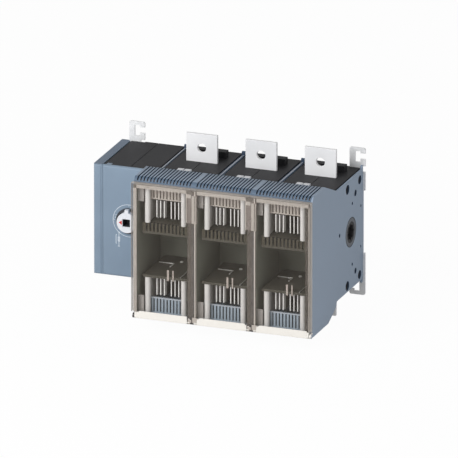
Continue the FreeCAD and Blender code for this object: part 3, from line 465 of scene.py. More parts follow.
@dataclass(frozen=True)
class Finishes:
    """Every finish of the object."""

    black: Finish = MouldedPlastic("black_moulded", rgb(48, 48, 50), roughness=0.5, gloss=0.07)
    blue_grey: Finish = MouldedPlastic("blue_grey_moulded", rgb(143, 159, 178))
    # The drive front has painted light, lighter towards its top
    drive_front: Finish = MouldedPlastic("drive_front_moulded", rgb(126, 142, 158), cloud=0.13, painted_top_light=3.2)
    # Painted shade: a darker copy of the drive front's blue-grey for the cap's top
    cap_top_painted_shade: Finish = MouldedPlastic("cap_top_painted_shade", rgb(105, 119, 136))
    # Painted shade: a darker copy of the blue-grey for the front of the ridge
    ridge: Finish = MouldedPlastic("ridge_front_painted_shade", rgb(94, 110, 128))
    # Painted highlight: a paler copy of the blue-grey for narrow crests and the grille's rail
    rib: Finish = MouldedPlastic("rib_crest_painted_highlight", rgb(176, 181, 188))
    # Painted light: a lighter copy of the blue-grey for the lower grille
    grille: Finish = MouldedPlastic("lower_grille_painted_light", rgb(158, 170, 180))
    # Painted shade: a darker blue for slot walls, joints and hole insides
    shade: Finish = MouldedPlastic("slot_shade", rgb(68, 82, 102), roughness=0.6)
    hub: Finish = MouldedPlastic("hub_ring", rgb(84, 89, 96), roughness=0.4)
    lining: Finish = MouldedPlastic("bay_lining", rgb(130, 131, 120), roughness=0.6)
    guard_grey: Finish = MouldedPlastic("guard_grey", rgb(112, 110, 104), roughness=0.5)
    dark_olive: Finish = MouldedPlastic("contact_carrier_black", rgb(80, 77, 69), roughness=0.5)
    teeth: Finish = MouldedPlastic("comb_teeth", rgb(78, 73, 62))
    # Painted shadow: near black for blocks set behind slots
    void: Finish = MouldedPlastic("comb_painted_shadow", rgb(22, 22, 20), roughness=0.7)
    dark: Finish = MouldedPlastic("dark_moulded", rgb(66, 68, 72), roughness=0.35)
    white: Finish = MouldedPlastic("white_moulded", rgb(219, 220, 223), cloud=0.02)
    bearing: Finish = MouldedPlastic("natural_bearing", rgb(214, 204, 180))
    red: Finish = Ink("red_pointer", rgb(196, 44, 40))
    ink: Finish = Ink("pale_print", rgb(222, 228, 234))
    smoky: Finish = ClearPlastic("smoky_cover", rgb(124, 117, 108), 0.062)
    # Painted highlight: a paler, denser copy of the clear plastic for edges and glints
    edge: Finish = ClearPlastic("cover_edge_painted_highlight", rgb(190, 181, 172), 0.72, 0.2)
    # Painted highlight: a brighter copy of the clear plastic for thin lines
    bright: Finish = ClearPlastic("cover_painted_highlight_line", rgb(216, 206, 196), 0.85, 0.15)
    veil: Finish = ClearPlastic("cover_veil", rgb(106, 97, 89), 0.6, 0.25)
    blush: Finish = ClearPlastic("cover_upper_veil", rgb(148, 136, 129), 0.6, 0.25)
    tinted: Finish = ClearPlastic("tinted_knuckle", rgb(66, 59, 55), 0.9, 0.3)
    pale: Finish = ClearPlastic("pale_rail", rgb(234, 230, 223), 0.9, 0.25)
    frosted: Finish = ClearPlastic("frosted_guard", rgb(238, 234, 230), 0.8, 0.22)
    ribbed: Finish = ClearPlastic("ribbed_guard", rgb(188, 178, 169), 0.85, 0.35)
    haze: Finish = ClearPlastic("grille_haze", rgb(184, 172, 163), 0.85, 0.3)
    shield: Finish = ClearPlastic("side_shield", rgb(166, 160, 155), 0.75, 0.25)
    tinned: Finish = PlatedMetal("tinned_copper", rgb(238, 238, 239), 0.42, 0.1)
    silvered: Finish = PlatedMetal("silvered_copper", rgb(238, 235, 231), 0.3, 0.45)
    # Painted shade: a dark copy of the silvered copper for the jaws' finger sides
    jaw_side_painted_shade: Finish = PlatedMetal("jaw_side_painted_shade", rgb(76, 71, 65), 0.35, 0.4)
    steel: Finish = PlatedMetal("bright_steel", rgb(186, 188, 190), 0.3, 0.9, LINES_ALONG_X)
    burnished: Finish = PlatedMetal("burnished_steel", rgb(74, 78, 84), 0.4, 0.5, LINES_ALONG_X)
    spring: Finish = PlatedMetal("spring_steel", rgb(160, 160, 162), 0.28, 0.95)
    zinc: Finish = SpangledZinc("galvanised_sheet", rgb(232, 233, 234))


@cache
def material_of(finish: Finish) -> bpy.types.Material:
    """Build a finish's material the first time, and give the same one after that."""
    return finish.material()


# Mesh building


def round_edges(shape: bmesh.types.BMesh, width: float) -> None:
    """Bevel every sharp edge.

    Args:
        shape: The mesh.
        width: How far the rounding reaches from each edge.
    """
    sharp = [edge for edge in shape.edges
             if len(edge.link_faces) == 2 and abs(edge.calc_face_angle(0.0)) > SHARP_ANGLE]
    bmesh.ops.bevel(shape, geom=sharp, offset=width, offset_type="OFFSET", affect="EDGES",
                    segments=ROUNDING_FACES, profile=0.5, material=-1, clamp_overlap=True)


def finish_piece(name: str, shape: bmesh.types.BMesh, finish: Finish, body: Body,
                 rounding: float = 0.0) -> bpy.types.Object:
    """Turn a mesh under construction into a piece that rides on a body.

    Args:
        name: The piece's name.
        shape: The mesh, which is freed.
        finish: The piece's finish.
        body: The body that it moves with.
        rounding: How far the rounding reaches from each sharp edge, if there is any.

    Returns:
        The object.
    """
    if rounding:
        round_edges(shape, rounding)
    for face in shape.faces:
        face.smooth = True
    for edge in shape.edges:
        edge.smooth = len(edge.link_faces) == 2 and edge.calc_face_angle(0.0) < CRISP_ANGLE
    mesh = bpy.data.meshes.new(name)
    shape.to_mesh(mesh)
    shape.free()
    mesh.materials.append(material_of(finish))
    piece = bpy.data.objects.new(name, mesh)
    bpy.context.scene.collection.objects.link(piece)
    even = piece.modifiers.new("even_shading", "WEIGHTED_NORMAL")
    even.keep_sharp = True
    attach(piece, body.value)
    return piece


def block(low: Point, high: Point, shape: bmesh.types.BMesh | None = None) -> bmesh.types.BMesh:
    """A block between two corners, in a new mesh or added to one.

    Args:
        low: The lowest corner.
        high: The highest corner.
        shape: The mesh to add to, if any.

    Returns:
        The mesh.
    """
    target = bmesh.new() if shape is None else shape
    size = [b - a for a, b in zip(low, high)]
    middle = [(a + b) / 2 for a, b in zip(low, high)]
    matrix = Matrix.Translation(middle) @ Matrix.Diagonal((*size, 1.0))
    bmesh.ops.create_cube(target, size=1.0, matrix=matrix)
    return target


def sliced(shape: bmesh.types.BMesh, place: Point, outward: Point) -> None:
    """Cut away what lies outward of a plane, and close the cut.

    Args:
        shape: The mesh.
        place: A point on the plane.
        outward: The plane's normal, towards what goes.
    """
    geometry = [*shape.verts, *shape.edges, *shape.faces]
    cut = bmesh.ops.bisect_plane(shape, geom=geometry, dist=CUT_GAP, plane_co=place, plane_no=outward,
                                 clear_outer=True)
    rim = [item for item in cut["geom_cut"] if isinstance(item, bmesh.types.BMEdge)]
    bmesh.ops.contextual_create(shape, geom=rim)
    bmesh.ops.recalc_face_normals(shape, faces=shape.faces)


def turned(section: Sequence[Pair], centre: Point, axis: Point, side: Point,
           steps: int) -> bmesh.types.BMesh:
    """A turned form from a closed section spun about an axis.

    Args:
        section: Rows of distance from the axis and place along it.
        centre: A point on the axis.
        axis: The axis, a unit vector.
        side: A unit vector across the axis.
        steps: How many flats the circle has.

    Returns:
        The mesh.
    """
    shape = bmesh.new()
    along, across, origin = Vector(axis), Vector(side), Vector(centre)
    points = [shape.verts.new(origin + across * radius + along * place) for radius, place in section]
    edges = [shape.edges.new((points[i], points[(i + 1) % len(points)])) for i in range(len(points))]
    bmesh.ops.spin(shape, geom=points + edges, cent=origin, axis=along, angle=math.tau, steps=steps,
                   use_merge=True, dvec=(0, 0, 0))
    bmesh.ops.remove_doubles(shape, verts=shape.verts, dist=SPIN_GAP)
    bmesh.ops.recalc_face_normals(shape, faces=shape.faces)
    return shape


def softened(node: str, width: float, finish: Finish, body: Body) -> bpy.types.Object:
    """Copy a solid of the frame with its edges rounded, and let the copy stand for it.

    Args:
        node: The solid's name.
        width: How far the rounding reaches from each edge.
        finish: The copy's finish.
        body: The body that it moves with.

    Returns:
        The copy.
    """
    shape = bmesh.new()
    shape.from_mesh(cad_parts[node].data)
    bmesh.ops.remove_doubles(shape, verts=shape.verts, dist=MERGE_GAP)
    bmesh.ops.dissolve_limit(shape, angle_limit=FLAT_ANGLE, verts=shape.verts, edges=shape.edges,
                             use_dissolve_boundaries=False)
    copy = finish_piece(node + "_shell", shape, finish, body, width)
    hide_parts(node)
    return copy


def zone(piece: bpy.types.Object, finish: Finish, test: Callable[[Face], bool]) -> None:
    """Give another finish to some of a piece's faces.

    Args:
        piece: The piece.
        finish: The other finish.
        test: Whether a face gets it.
    """
    materials = piece.data.materials
    materials.append(material_of(finish))
    for face in piece.data.polygons:
        if test(face):
            face.material_index = len(materials) - 1


def split_across(piece: bpy.types.Object, places: Sequence[float], axis: Point) -> None:
    """Cut a piece's faces along planes, so that zones can end there.

    Args:
        piece: The piece.
        places: Where the planes cross the axis.
        axis: The axis, a unit vector.
    """
    shape = bmesh.new()
    shape.from_mesh(piece.data)
    for place in places:
        geometry = [*shape.verts, *shape.edges, *shape.faces]
        bmesh.ops.bisect_plane(shape, geom=geometry, dist=CUT_GAP, plane_co=Vector(axis) * place,
                               plane_no=axis)
    shape.to_mesh(piece.data)
    shape.free()


def dress(node: str, finish: Finish) -> None:
    """Give a solid of the frame its finish.

    Args:
        node: The solid's name.
        finish: The finish.
    """
    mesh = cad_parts[node].data
    mesh.materials.clear()
    mesh.materials.append(material_of(finish))


def middle_of(node: str) -> float:
    """The middle of a solid of the frame along X."""
    low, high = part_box(node)
    return (low.x + high.x) / 2


# The object's sub-assemblies


class Hole(NamedTuple):
    """A round hole along X, by its middle and its radius."""

    y: float
    z: float
    radius: float


@dataclass
class PoleBlock:
    """The black bases, blue-grey housings and walls of the three poles."""

    finishes: Finishes
    edge: float = 0.45 * MM
    housing_edge: float = 0.315 * MM
    end_wall_edge: float = 0.36 * MM
    trim_edge: float = 0.2 * MM
    rear_half_height: float = 87.0 * MM
    rear_front: float = -116.0 * MM
    front: float = -222.0 * MM
    front_slack: float = 0.2 * MM
    side_slack: float = 0.4 * MM
    fin_height: float = 104.6 * MM
    ridge_height: float = 92.0 * MM
    lip: float = 4.0 * MM
    lining_half_height: float = 90.0 * MM
    grille_front: float = -208.0 * MM
    grille_back: float = -204.8 * MM
    grille_low: float = 72.0 * MM
    guard_offset: float = 28.7 * MM
    rail_half: float = 24.5 * MM
    rail_top: float = 82.6 * MM
    rail_height: float = 1.7 * MM
    rail_proud: float = 0.4 * MM
    rail_sunk: float = 0.2 * MM
    shadow_block_inset: float = 2.0 * MM
    shadow_block_gap: float = 0.1 * MM
    shadow_block_depth: float = 0.6 * MM
    shadow_block_foot: float = 103.6 * MM
    shields: tuple[Pair, ...] = ((-101.5 * MM, -76.0 * MM), (71.6 * MM, 98.0 * MM))
    shield_front: float = -219.0 * MM
    shield_depth: float = 0.8 * MM
    shield_gap: float = 1.8 * MM
    shield_room: float = 4.0 * MM
    rib_half_width: float = 0.9 * MM
    joint_depth: float = 3.0 * MM
    joint_rise: float = 1.0 * MM
    ear_height: float = -101.0 * MM
    tag_half: float = 4.9 * MM
    tag_offset: float = 5.7 * MM
    tag_depth: float = 8.0 * MM
    tag_drop: float = 1.5 * MM
    hub: Hole = Hole(-56.0 * MM, 3.0 * MM, 23.4 * MM)
    hole_skin: float = 0.3 * MM
    hole_reach: float = 1.06
    holes: tuple[Hole, ...] = (
        Hole(-36.0 * MM, 58.6 * MM, 5.0 * MM), Hole(-35.4 * MM, -64.5 * MM, 4.5 * MM),
        Hole(-49.6 * MM, 46.4 * MM, 2.5 * MM), Hole(-49.6 * MM, -49.6 * MM, 2.5 * MM),
        Hole(-12.3 * MM, 31.0 * MM, 2.0 * MM), Hole(-12.3 * MM, -33.0 * MM, 2.0 * MM),
        Hole(-105.0 * MM, 13.0 * MM, 3.0 * MM), Hole(-17.4 * MM, 73.5 * MM, 6.8 * MM),
        Hole(-17.4 * MM, -76.5 * MM, 6.8 * MM), Hole(-70.6 * MM, 74.5 * MM, 7.6 * MM),
        Hole(-70.6 * MM, -77.5 * MM, 7.6 * MM),
    )

    def build(self) -> None:
        """Copy and dress the mouldings of the pole block."""
        for pole in POLES:
            softened(f"pole_base_{pole}", self.edge, self.finishes.black, Body.HOUSING)
            self._housing(pole)
            self._wall(pole)
        self._end_wall()
        self._markers()

    def _markers(self) -> None:
        """The marker plates, each a pair of low tags behind the ridge."""
        low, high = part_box("pole_markers")
        tags = bmesh.new()
        for pole in POLES:
            middle = middle_of(f"pole_base_{pole}")
            for x in (middle - self.tag_offset, middle + self.tag_offset):
                block((x - self.tag_half, low.y, low.z),
                      (x + self.tag_half, low.y + self.tag_depth, high.z - self.tag_drop), tags)
        copy = finish_piece("marker_tags", tags, self.finishes.white, Body.HOUSING, self.edge)
        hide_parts("pole_markers")

    def _on_ridge(self, face: Face) -> bool:
        """Whether a face is on the front of the ridge."""
        return face.center.z > self.ridge_height and face.normal.y < -LEANING

    def _on_ear(self, face: Face) -> bool:
        """Whether a face is on an ear at a wall's foot."""
        return face.center.y < self.front + self.front_slack and face.center.z < self.ear_height

    def _housing(self, pole: int) -> None:
        """Copy a fuse housing, with its dark lining, its clear upper grille, painted light on its lower
        grille and painted shade on its slots and ridge.

        Args:
            pole: The pole's number.
        """
        f = self.finishes
        node = f"fuse_housing_{pole}"
        copy = softened(node, self.housing_edge, f.blue_grey, Body.HOUSING)
        low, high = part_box(node)
        middle = middle_of(node)

        def inside(face: Face) -> bool:
            """Whether a face lies in from the housing's sides."""
            return min(face.center.x - low.x, high.x - face.center.x) > self.side_slack

        def in_grille(face: Face) -> bool:
            """Whether a face lies in the plane of the grilles."""
            return self.grille_front - self.front_slack < face.center.y < self.grille_back

        zone(copy, f.lining, lambda face: inside(face) and face.center.y > low.y + self.lip
             and abs(face.center.z) < self.lining_half_height and not in_grille(face))
        # Painted shade on the front of the ridge
        zone(copy, f.ridge, self._on_ridge)
        zone(copy, f.ribbed, lambda face: in_grille(face) and face.center.z > self.grille_low)
        # Painted light on the lower grille
        zone(copy, f.grille, lambda face: in_grille(face) and face.center.z < -self.grille_low)
        zone(copy, f.guard_grey, lambda face: in_grille(face) and face.center.z < -self.grille_low
             and abs(face.center.x - middle) > self.guard_offset)
        # Painted shade on the walls of the slots between the fins
        zone(copy, f.shade, lambda face: abs(face.normal.x) > FACING
             and abs(face.center.z) > self.fin_height and inside(face))
        self._grille_trim(pole, middle, low, high)

    def _grille_trim(self, pole: int, middle: float, low: Vector, high: Vector) -> None:
        """The lower grille's rail with a painted highlight, a dark block of painted shadow behind the grille,
        and the shields left of the guards.

        Args:
            pole: The pole's number.
            middle: The middle of the housing.
            low: The housing's lowest corner.
            high: The housing's highest corner.
        """
        f = self.finishes
        rail = block((middle - self.rail_half, self.grille_front - self.rail_proud, -self.rail_top),
                     (middle + self.rail_half, self.grille_front + self.rail_sunk,
                      self.rail_height - self.rail_top))
        # The rail takes the painted highlight
        finish_piece(f"grille_rail_{pole}", rail, f.rib, Body.HOUSING)
        # A block of painted shadow behind the lower grille's slots
        near = self.grille_back + self.shadow_block_gap
        shadow_block = block((low.x + self.shadow_block_inset, near, -self.shadow_block_foot),
                        (high.x - self.shadow_block_inset, near + self.shadow_block_depth, -self.rail_top))
        finish_piece(f"grille_shadow_block_{pole}", shadow_block, f.void, Body.HOUSING)
        shields = bmesh.new()
        left, right = low.x + self.shield_gap, middle - self.guard_offset - self.shield_room
        for bottom, top in self.shields:
            block((left, self.shield_front, bottom), (right, self.shield_front + self.shield_depth, top),
                  shields)
        finish_piece(f"side_shields_{pole}", shields, f.shield, Body.HOUSING, self.trim_edge)

    def _wall(self, pole: int) -> None:
        """Copy a partition, whose rib shows as a painted highlight between gaps of painted shadow.

        Args:
            pole: The number of the pole at its right.
        """
        f = self.finishes
        node = f"partition_{pole}"
        copy = softened(node, self.edge, f.blue_grey, Body.HOUSING)
        middle = middle_of(node)
        split_across(copy, (middle - self.rib_half_width, middle + self.rib_half_width), X_AXIS)
        crest = self.rear_half_height + self.joint_rise

        def in_joint(face: Face) -> bool:
            """Whether a face lies in the joint between two bases."""
            return (abs(face.center.z) > self.rear_half_height - self.joint_depth
                    and face.center.y > self.rear_front)

        def beside_rib(face: Face) -> float:
            """How far a face lies from the middle of the rib."""
            return abs(face.center.x - middle)

        # Painted shadow in the joint beside the rib and above its crest
        zone(copy, f.shade, lambda face: in_joint(face)
             and (beside_rib(face) > self.rib_half_width or abs(face.center.z) > crest))
        # Painted highlight along the rib's crest
        zone(copy, f.rib, lambda face: in_joint(face)
             and beside_rib(face) < self.rib_half_width and abs(face.center.z) < crest)
        # Painted shade on the front of the ridge
        zone(copy, f.ridge, self._on_ridge)
        zone(copy, f.tinted, self._on_ear)

    def _end_wall(self) -> None:
        """Copy the end wall, with painted shade inside its holes and a dark ring round its hub."""
        f = self.finishes
        copy = softened("end_wall", self.end_wall_edge, f.blue_grey, Body.HOUSING)
        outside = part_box("end_wall")[1].x

        def within(face: Face, hole: Hole, reach: float) -> bool:
            """Whether a face lies nearer to a hole's axis than the hole's radius times a reach."""
            return math.hypot(face.center.y - hole.y, face.center.z - hole.z) < hole.radius * reach

        # Painted shade inside the holes
        zone(copy, f.shade, lambda face: face.center.x < outside - self.hole_skin
             and any(within(face, hole, self.hole_reach) for hole in self.holes))
        zone(copy, f.pale, self._on_ear)
        zone(copy, f.hub, lambda face: within(face, self.hub, 1.0)
             and face.area < math.pi * self.hub.radius ** 2)


@dataclass
class Conductors:
    """Lugs, jaws, clips and guards of the three poles, with the shelves that carry them."""

    finishes: Finishes
    edge: float = 0.4 * MM
    clip_edge: float = 0.24 * MM
    trim_edge: float = 0.2 * MM
    finger_back: float = -190.0 * MM
    finger_facing: float = 0.3
    shelf: float = 4.0 * MM
    comb_low: float = 24.6 * MM
    comb_top: float = 37.6 * MM
    comb_left: float = -32.5 * MM
    comb_right: float = 20.5 * MM
    shadow_block_front: float = 0.5 * MM
    shadow_block_back: float = 5.0 * MM
    shadow_block_drop: float = 0.1 * MM
    veil_place: float = -204.6 * MM
    veil_depth: float = 0.8 * MM
    veil_low: float = 73.5 * MM
    veil_high: float = 105.0 * MM
    veil_margin: float = 7.0 * MM
    corner_back: float = -157.0 * MM
    corner: float = -8.3 * MM
    rim: float = 1.5 * MM
    rim_rise: float = 1.2 * MM
    rim_start: float = -32.0 * MM
    rim_return: float = 16.0 * MM
    side_rim: float = 23.8 * MM
    side_rim_width: float = 0.75 * MM
    side_rim_front: float = 0.5 * MM
    side_rim_length: float = 32.0 * MM
    tongues: tuple[Pair, ...] = ((4.7 * MM, 3.2 * MM), (12.7 * MM, 2.2 * MM))
    tongue_front: float = 1.0 * MM
    tongue_back: float = 0.2 * MM
    tongue_drop: float = 2.0 * MM
    tongue_rise: float = 11.0 * MM
    screw_set_back: float = 11.0 * MM
    screw_steps: int = 20
    screw_section: tuple[Pair, ...] = (
        (0.0, 0.0), (2.6 * MM, 0.0), (2.6 * MM, 0.9 * MM), (2.0 * MM, 1.6 * MM),
        (0.9 * MM, 1.6 * MM), (0.9 * MM, 1.0 * MM), (0.0, 1.0 * MM),
    )

    def build(self) -> None:
        """Copy and dress the metal parts, their guards and their shelves."""
        f = self.finishes
        for pole in POLES:
            for node in (f"line_terminal_{pole}", f"load_terminal_{pole}"):
                softened(node, self.edge, f.tinned, Body.HOUSING)
            for node in (f"fuse_jaw_upper_{pole}", f"fuse_jaw_lower_{pole}"):
                self._jaw(node)
            softened(f"contact_guards_{pole}", self.edge, f.frosted, Body.HOUSING)
            self._carrier(pole)
            dress(f"contact_drum_{pole}", f.black)
            dress(f"moving_contacts_{pole}", f.silvered)
        softened("jaw_springs", self.clip_edge, f.silvered, Body.HOUSING)

    def _jaw(self, node: str) -> None:
        """Copy a jaw, whose fingers are bright in front and in shade at their sides."""
        copy = softened(node, self.clip_edge, self.finishes.silvered, Body.HOUSING)
        # Painted shade on the fingers' sides and backs
        zone(copy, self.finishes.jaw_side_painted_shade, lambda face: face.normal.y > -self.finger_facing
             or face.center.y > self.finger_back)

    def _carrier(self, pole: int) -> None:
        """Copy the shelves, with a dark block of painted shadow behind the comb and the haze over the upper
        grille.

        Args:
            pole: The pole's number.
        """
        f = self.finishes
        node = f"contact_carrier_{pole}"
        copy = softened(node, self.edge, f.dark_olive, Body.HOUSING)
        split_across(copy, (self.comb_low,), Z_AXIS)
        zone(copy, f.teeth, lambda face: face.normal.y < -FACING
             and self.comb_low < face.center.z < self.comb_top)
        low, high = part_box(node)
        middle = middle_of(node)
        # A block of painted shadow behind the comb's slots
        shadow_block = block((middle + self.comb_left, low.y + self.shadow_block_front, self.comb_low),
                        (middle + self.comb_right, low.y + self.shadow_block_back, high.z - self.shadow_block_drop))
        finish_piece(f"comb_shadow_block_{pole}", shadow_block, f.void, Body.HOUSING)
        veil = block((low.x - self.veil_margin, self.veil_place, self.veil_low),
                     (high.x + self.veil_margin, self.veil_place + self.veil_depth, self.veil_high))
        finish_piece(f"upper_veil_{pole}", veil, f.haze, Body.HOUSING)
        self._shelf_trim(pole, middle, low)

    def _shelf_trim(self, pole: int, middle: float, low: Vector) -> None:
        """The bright rims and tongues of the lower shelf, and the screw that holds it.

        Args:
            pole: The pole's number.
            middle: The middle of the shelf.
            low: The shelf's lowest corner.
        """
        f = self.finishes
        half, top, crest = self.rim / 2, low.z + self.shelf, low.z + self.shelf + self.rim_rise
        edge, back = middle + self.corner, self.corner_back
        rim = block((middle + self.rim_start, back - half, top), (edge + half, back + half, crest))
        block((edge - half, back - self.rim_return, top), (edge + half, back - half, crest), rim)
        side, side_half = middle + self.side_rim, self.side_rim_width / 2
        block((side - side_half, low.y + self.side_rim_front, top),
              (side + side_half, low.y + self.side_rim_length, crest), rim)
        tongues = bmesh.new()
        for place, width in self.tongues:
            x = middle + place
            block((x - width / 2, low.y - self.tongue_front, low.z - self.tongue_drop),
                  (x + width / 2, low.y - self.tongue_back, top + self.tongue_rise), tongues)
        finish_piece(f"shelf_tongues_{pole}", tongues, f.haze, Body.HOUSING, self.trim_edge)
        finish_piece(f"shelf_trim_{pole}", rim, f.silvered, Body.HOUSING, self.trim_edge)
        head = turned(self.screw_section, (middle, back + self.screw_set_back, top), Z_AXIS, X_AXIS,
                      self.screw_steps)
        finish_piece(f"shelf_screw_{pole}", head, f.silvered, Body.HOUSING)


class Mark(NamedTuple):
    """A word on the dial, by the height of its line and its place from the dial's centre."""

    text: str
    size: float
    right: float
    up: float


@dataclass
class Drive:
    """The drive at the left end with its selector."""

    finishes: Finishes
    edge: float = 0.5 * MM
    socket_edge: float = 0.3 * MM
    centre: Pair = (-136.0 * MM, 3.0 * MM)
    face: float = -123.0 * MM
    seam: Pair = (-180.2 * MM, -178.3 * MM)
    seam_front: float = 0.7 * MM
    seam_back: float = 2.5 * MM
    seam_margin: float = 1.0 * MM
    ink_depth: float = 0.05 * MM
    ring_radius: float = 25.3 * MM
    ring_width: float = 0.55 * MM
    ring_steps: int = 96
    tick_length: float = 2.4 * MM
    marks: tuple[Mark, ...] = (
        Mark("I", 3.2 * MM, 2.6 * MM, 21.025 * MM), Mark("ON", 2.0 * MM, 6.2 * MM, 21.425 * MM),
        Mark("0", 3.2 * MM, -21.625 * MM, 3.4 * MM), Mark("OFF", 2.0 * MM, -21.025 * MM, 7.4 * MM),
    )
    letter_steps: int = 3
    symbol_place: Pair = (-152.0 * MM, -27.5 * MM)
    symbol_half_height: float = 11.5 * MM
    symbol_line: float = 0.7 * MM
    bracket_offset: float = 4.6 * MM
    bracket_half_height: float = 7.0 * MM
    bracket_arm: float = 1.4 * MM
    fuse_half_width: float = 1.3 * MM
    fuse_half_height: float = 3.0 * MM
    arrow_base: float = 7.0 * MM
    arrow_tip: float = 11.9 * MM
    arrow_half_width: float = 3.6 * MM
    arrow_thickness: float = 0.8 * MM
    arrow_edge: float = 0.15 * MM
    disc_face: float = -134.0 * MM
    socket_rim: float = 6.1 * MM
    socket_lead: float = 1.6 * MM

    def build(self) -> None:
        """Copy and dress the drive's mouldings and its works."""
        f = self.finishes
        softened("drive_base", self.edge, f.black, Body.HOUSING)
        softened("drive_front_cover", self.edge, f.drive_front, Body.HOUSING)
        cap = softened("drive_side_cap", self.edge, f.drive_front, Body.HOUSING)
        # Painted shade on the cap's upward faces
        zone(cap, f.cap_top_painted_shade, lambda face: face.normal.z > FACING)
        self._seam()
        softened("selector_collar", self.edge, f.dark, Body.HOUSING)
        softened("selector_disc", self.edge, f.white, Body.SELECTOR)
        self._socket()
        self._arrow()
        self._dial()
        self._symbol()
        for node in ("input_shaft", "bevel_gear_input", "bevel_gear_shaft", "switch_shaft"):
            dress(node, f.steel)
        for node in ("input_bush", "shaft_bearing"):
            dress(node, f.bearing)
        dress("drive_spring", f.spring)

    def _seam(self) -> None:
        """The strip behind the seam between the front cover and the side cap."""
        low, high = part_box("drive_side_cap")
        left, right = self.seam
        seam = block((left, low.y + self.seam_front, low.z + self.seam_margin),
                     (right, low.y + self.seam_back, high.z - self.seam_margin))
        finish_piece("drive_seam", seam, self.finishes.drive_front, Body.HOUSING)

    def _socket(self) -> None:
        """The square socket, with painted shade inside it, within a white rim."""
        f = self.finishes
        socket = softened("selector_socket", self.socket_edge, f.white, Body.SELECTOR)
        x, z = self.centre
        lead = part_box("selector_socket")[0].y + self.socket_lead
        split_across(socket, (lead,), Y_AXIS)
        # Painted shade on the faces deep inside the socket
        zone(socket, f.dark, lambda face: face.center.y > lead
             and max(abs(face.center.x - x), abs(face.center.z - z)) < self.socket_rim)

    def _arrow(self) -> None:
        """The red arrow beside the socket, which points at the selected mark."""
        x, z = self.centre
        long, wide = self.arrow_tip - self.arrow_base, self.arrow_half_width
        # A cone of three sides starts as a triangle in a circle of radius one
        unit_long, unit_wide = 1.5, math.sin(math.radians(60.0))
        shape = bmesh.new()
        turn = Matrix.Rotation(QUARTER, 4, "X") @ Matrix.Rotation(QUARTER, 4, "Z")
        bmesh.ops.create_cone(shape, cap_ends=True, segments=3, radius1=1.0, radius2=1.0,
                              depth=self.arrow_thickness, matrix=turn)
        bmesh.ops.scale(shape, vec=(long / unit_long, 1.0, wide / unit_wide), verts=shape.verts)
        place = (x - self.arrow_base - long / 3, self.disc_face - self.arrow_thickness / 2, z)
        bmesh.ops.translate(shape, vec=place, verts=shape.verts)
        bmesh.ops.recalc_face_normals(shape, faces=shape.faces)
        arrow = finish_piece("selector_arrow", shape, self.finishes.red, Body.SELECTOR,
                             self.arrow_edge)
        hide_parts("selector_pointer")

    def _print(self, name: str, shape: bmesh.types.BMesh) -> None:
        """Dress a thin raised print on the drive's front."""
        finish_piece(name, shape, self.finishes.ink, Body.HOUSING)

    def _dial(self) -> None:
        """The dial ring with its two ticks, and the marks for on and off."""
        x, z = self.centre
        half, near, far = self.ring_width / 2, self.face - self.ink_depth, self.face
        inner, outer = self.ring_radius - half, self.ring_radius + half
        section = ((inner, 0.0), (outer, 0.0), (outer, self.ink_depth), (inner, self.ink_depth))
        ring = turned(section, (x, self.face, z), FORWARD, X_AXIS, self.ring_steps)
        block((x - half, near, z + inner - self.tick_length), (x + half, far, z + inner), ring)
        block((x - inner, near, z - half), (x - inner + self.tick_length, far, z + half), ring)
        self._print("dial_ring", ring)
        words = bmesh.new()
        for mark in self.marks:
            self._letter(words, mark.text, mark.size, (x + mark.right, z + mark.up))
        self._print("dial_words", words)

    def _letter(self, target: bmesh.types.BMesh, text: str, size: float, place: Pair) -> None:
        """Add a word in thin raised print to a mesh.

        Args:
            target: The mesh.
            text: The word.
            size: The height of its line.
            place: The X and Z of its middle.
        """
        curve = bpy.data.curves.new("word", "FONT")
        curve.body = text
        curve.size = size
        curve.align_x = curve.align_y = "CENTER"
        curve.extrude = self.ink_depth / 2
        curve.resolution_u = self.letter_steps
        holder = bpy.data.objects.new("word", curve)
        mesh = bpy.data.meshes.new_from_object(holder)
        mesh.transform(Matrix.Translation((place[0], self.face - self.ink_depth / 2, place[1]))
                       @ Matrix.Rotation(QUARTER, 4, "X"))
        target.from_mesh(mesh)
        bpy.data.meshes.remove(mesh)
        bpy.data.objects.remove(holder)
        bpy.data.curves.remove(curve)

    def _symbol(self) -> None:
        """The plain circuit symbol of a switch with a fuse, and the bracket beside it."""
        x, z = self.symbol_place
        half, line, high = self.symbol_line / 2, self.symbol_line, self.symbol_half_height
        wide, tall = self.fuse_half_width, self.fuse_half_height
        left, reach = x - self.bracket_offset, self.bracket_half_height
        bars = [(x - half, -high, x + half, high)]
        bars += [(x - wide - half, low, x + wide + half, low + line)
                 for low in (-high, high - line, tall, -tall - line)]
        bars += [(x + side - half, -tall, x + side + half, tall) for side in (-wide, wide)]
        bars += [(left - half, -reach, left + half, reach)]
        bars += [(left + half, up - half, left + self.bracket_arm, up + half) for up in (-reach, reach)]
        shape = bmesh.new()
        for start, low, end, top in bars:
            block((start, self.face - self.ink_depth, z + low), (end, self.face, z + top), shape)
        self._print("circuit_symbol", shape)


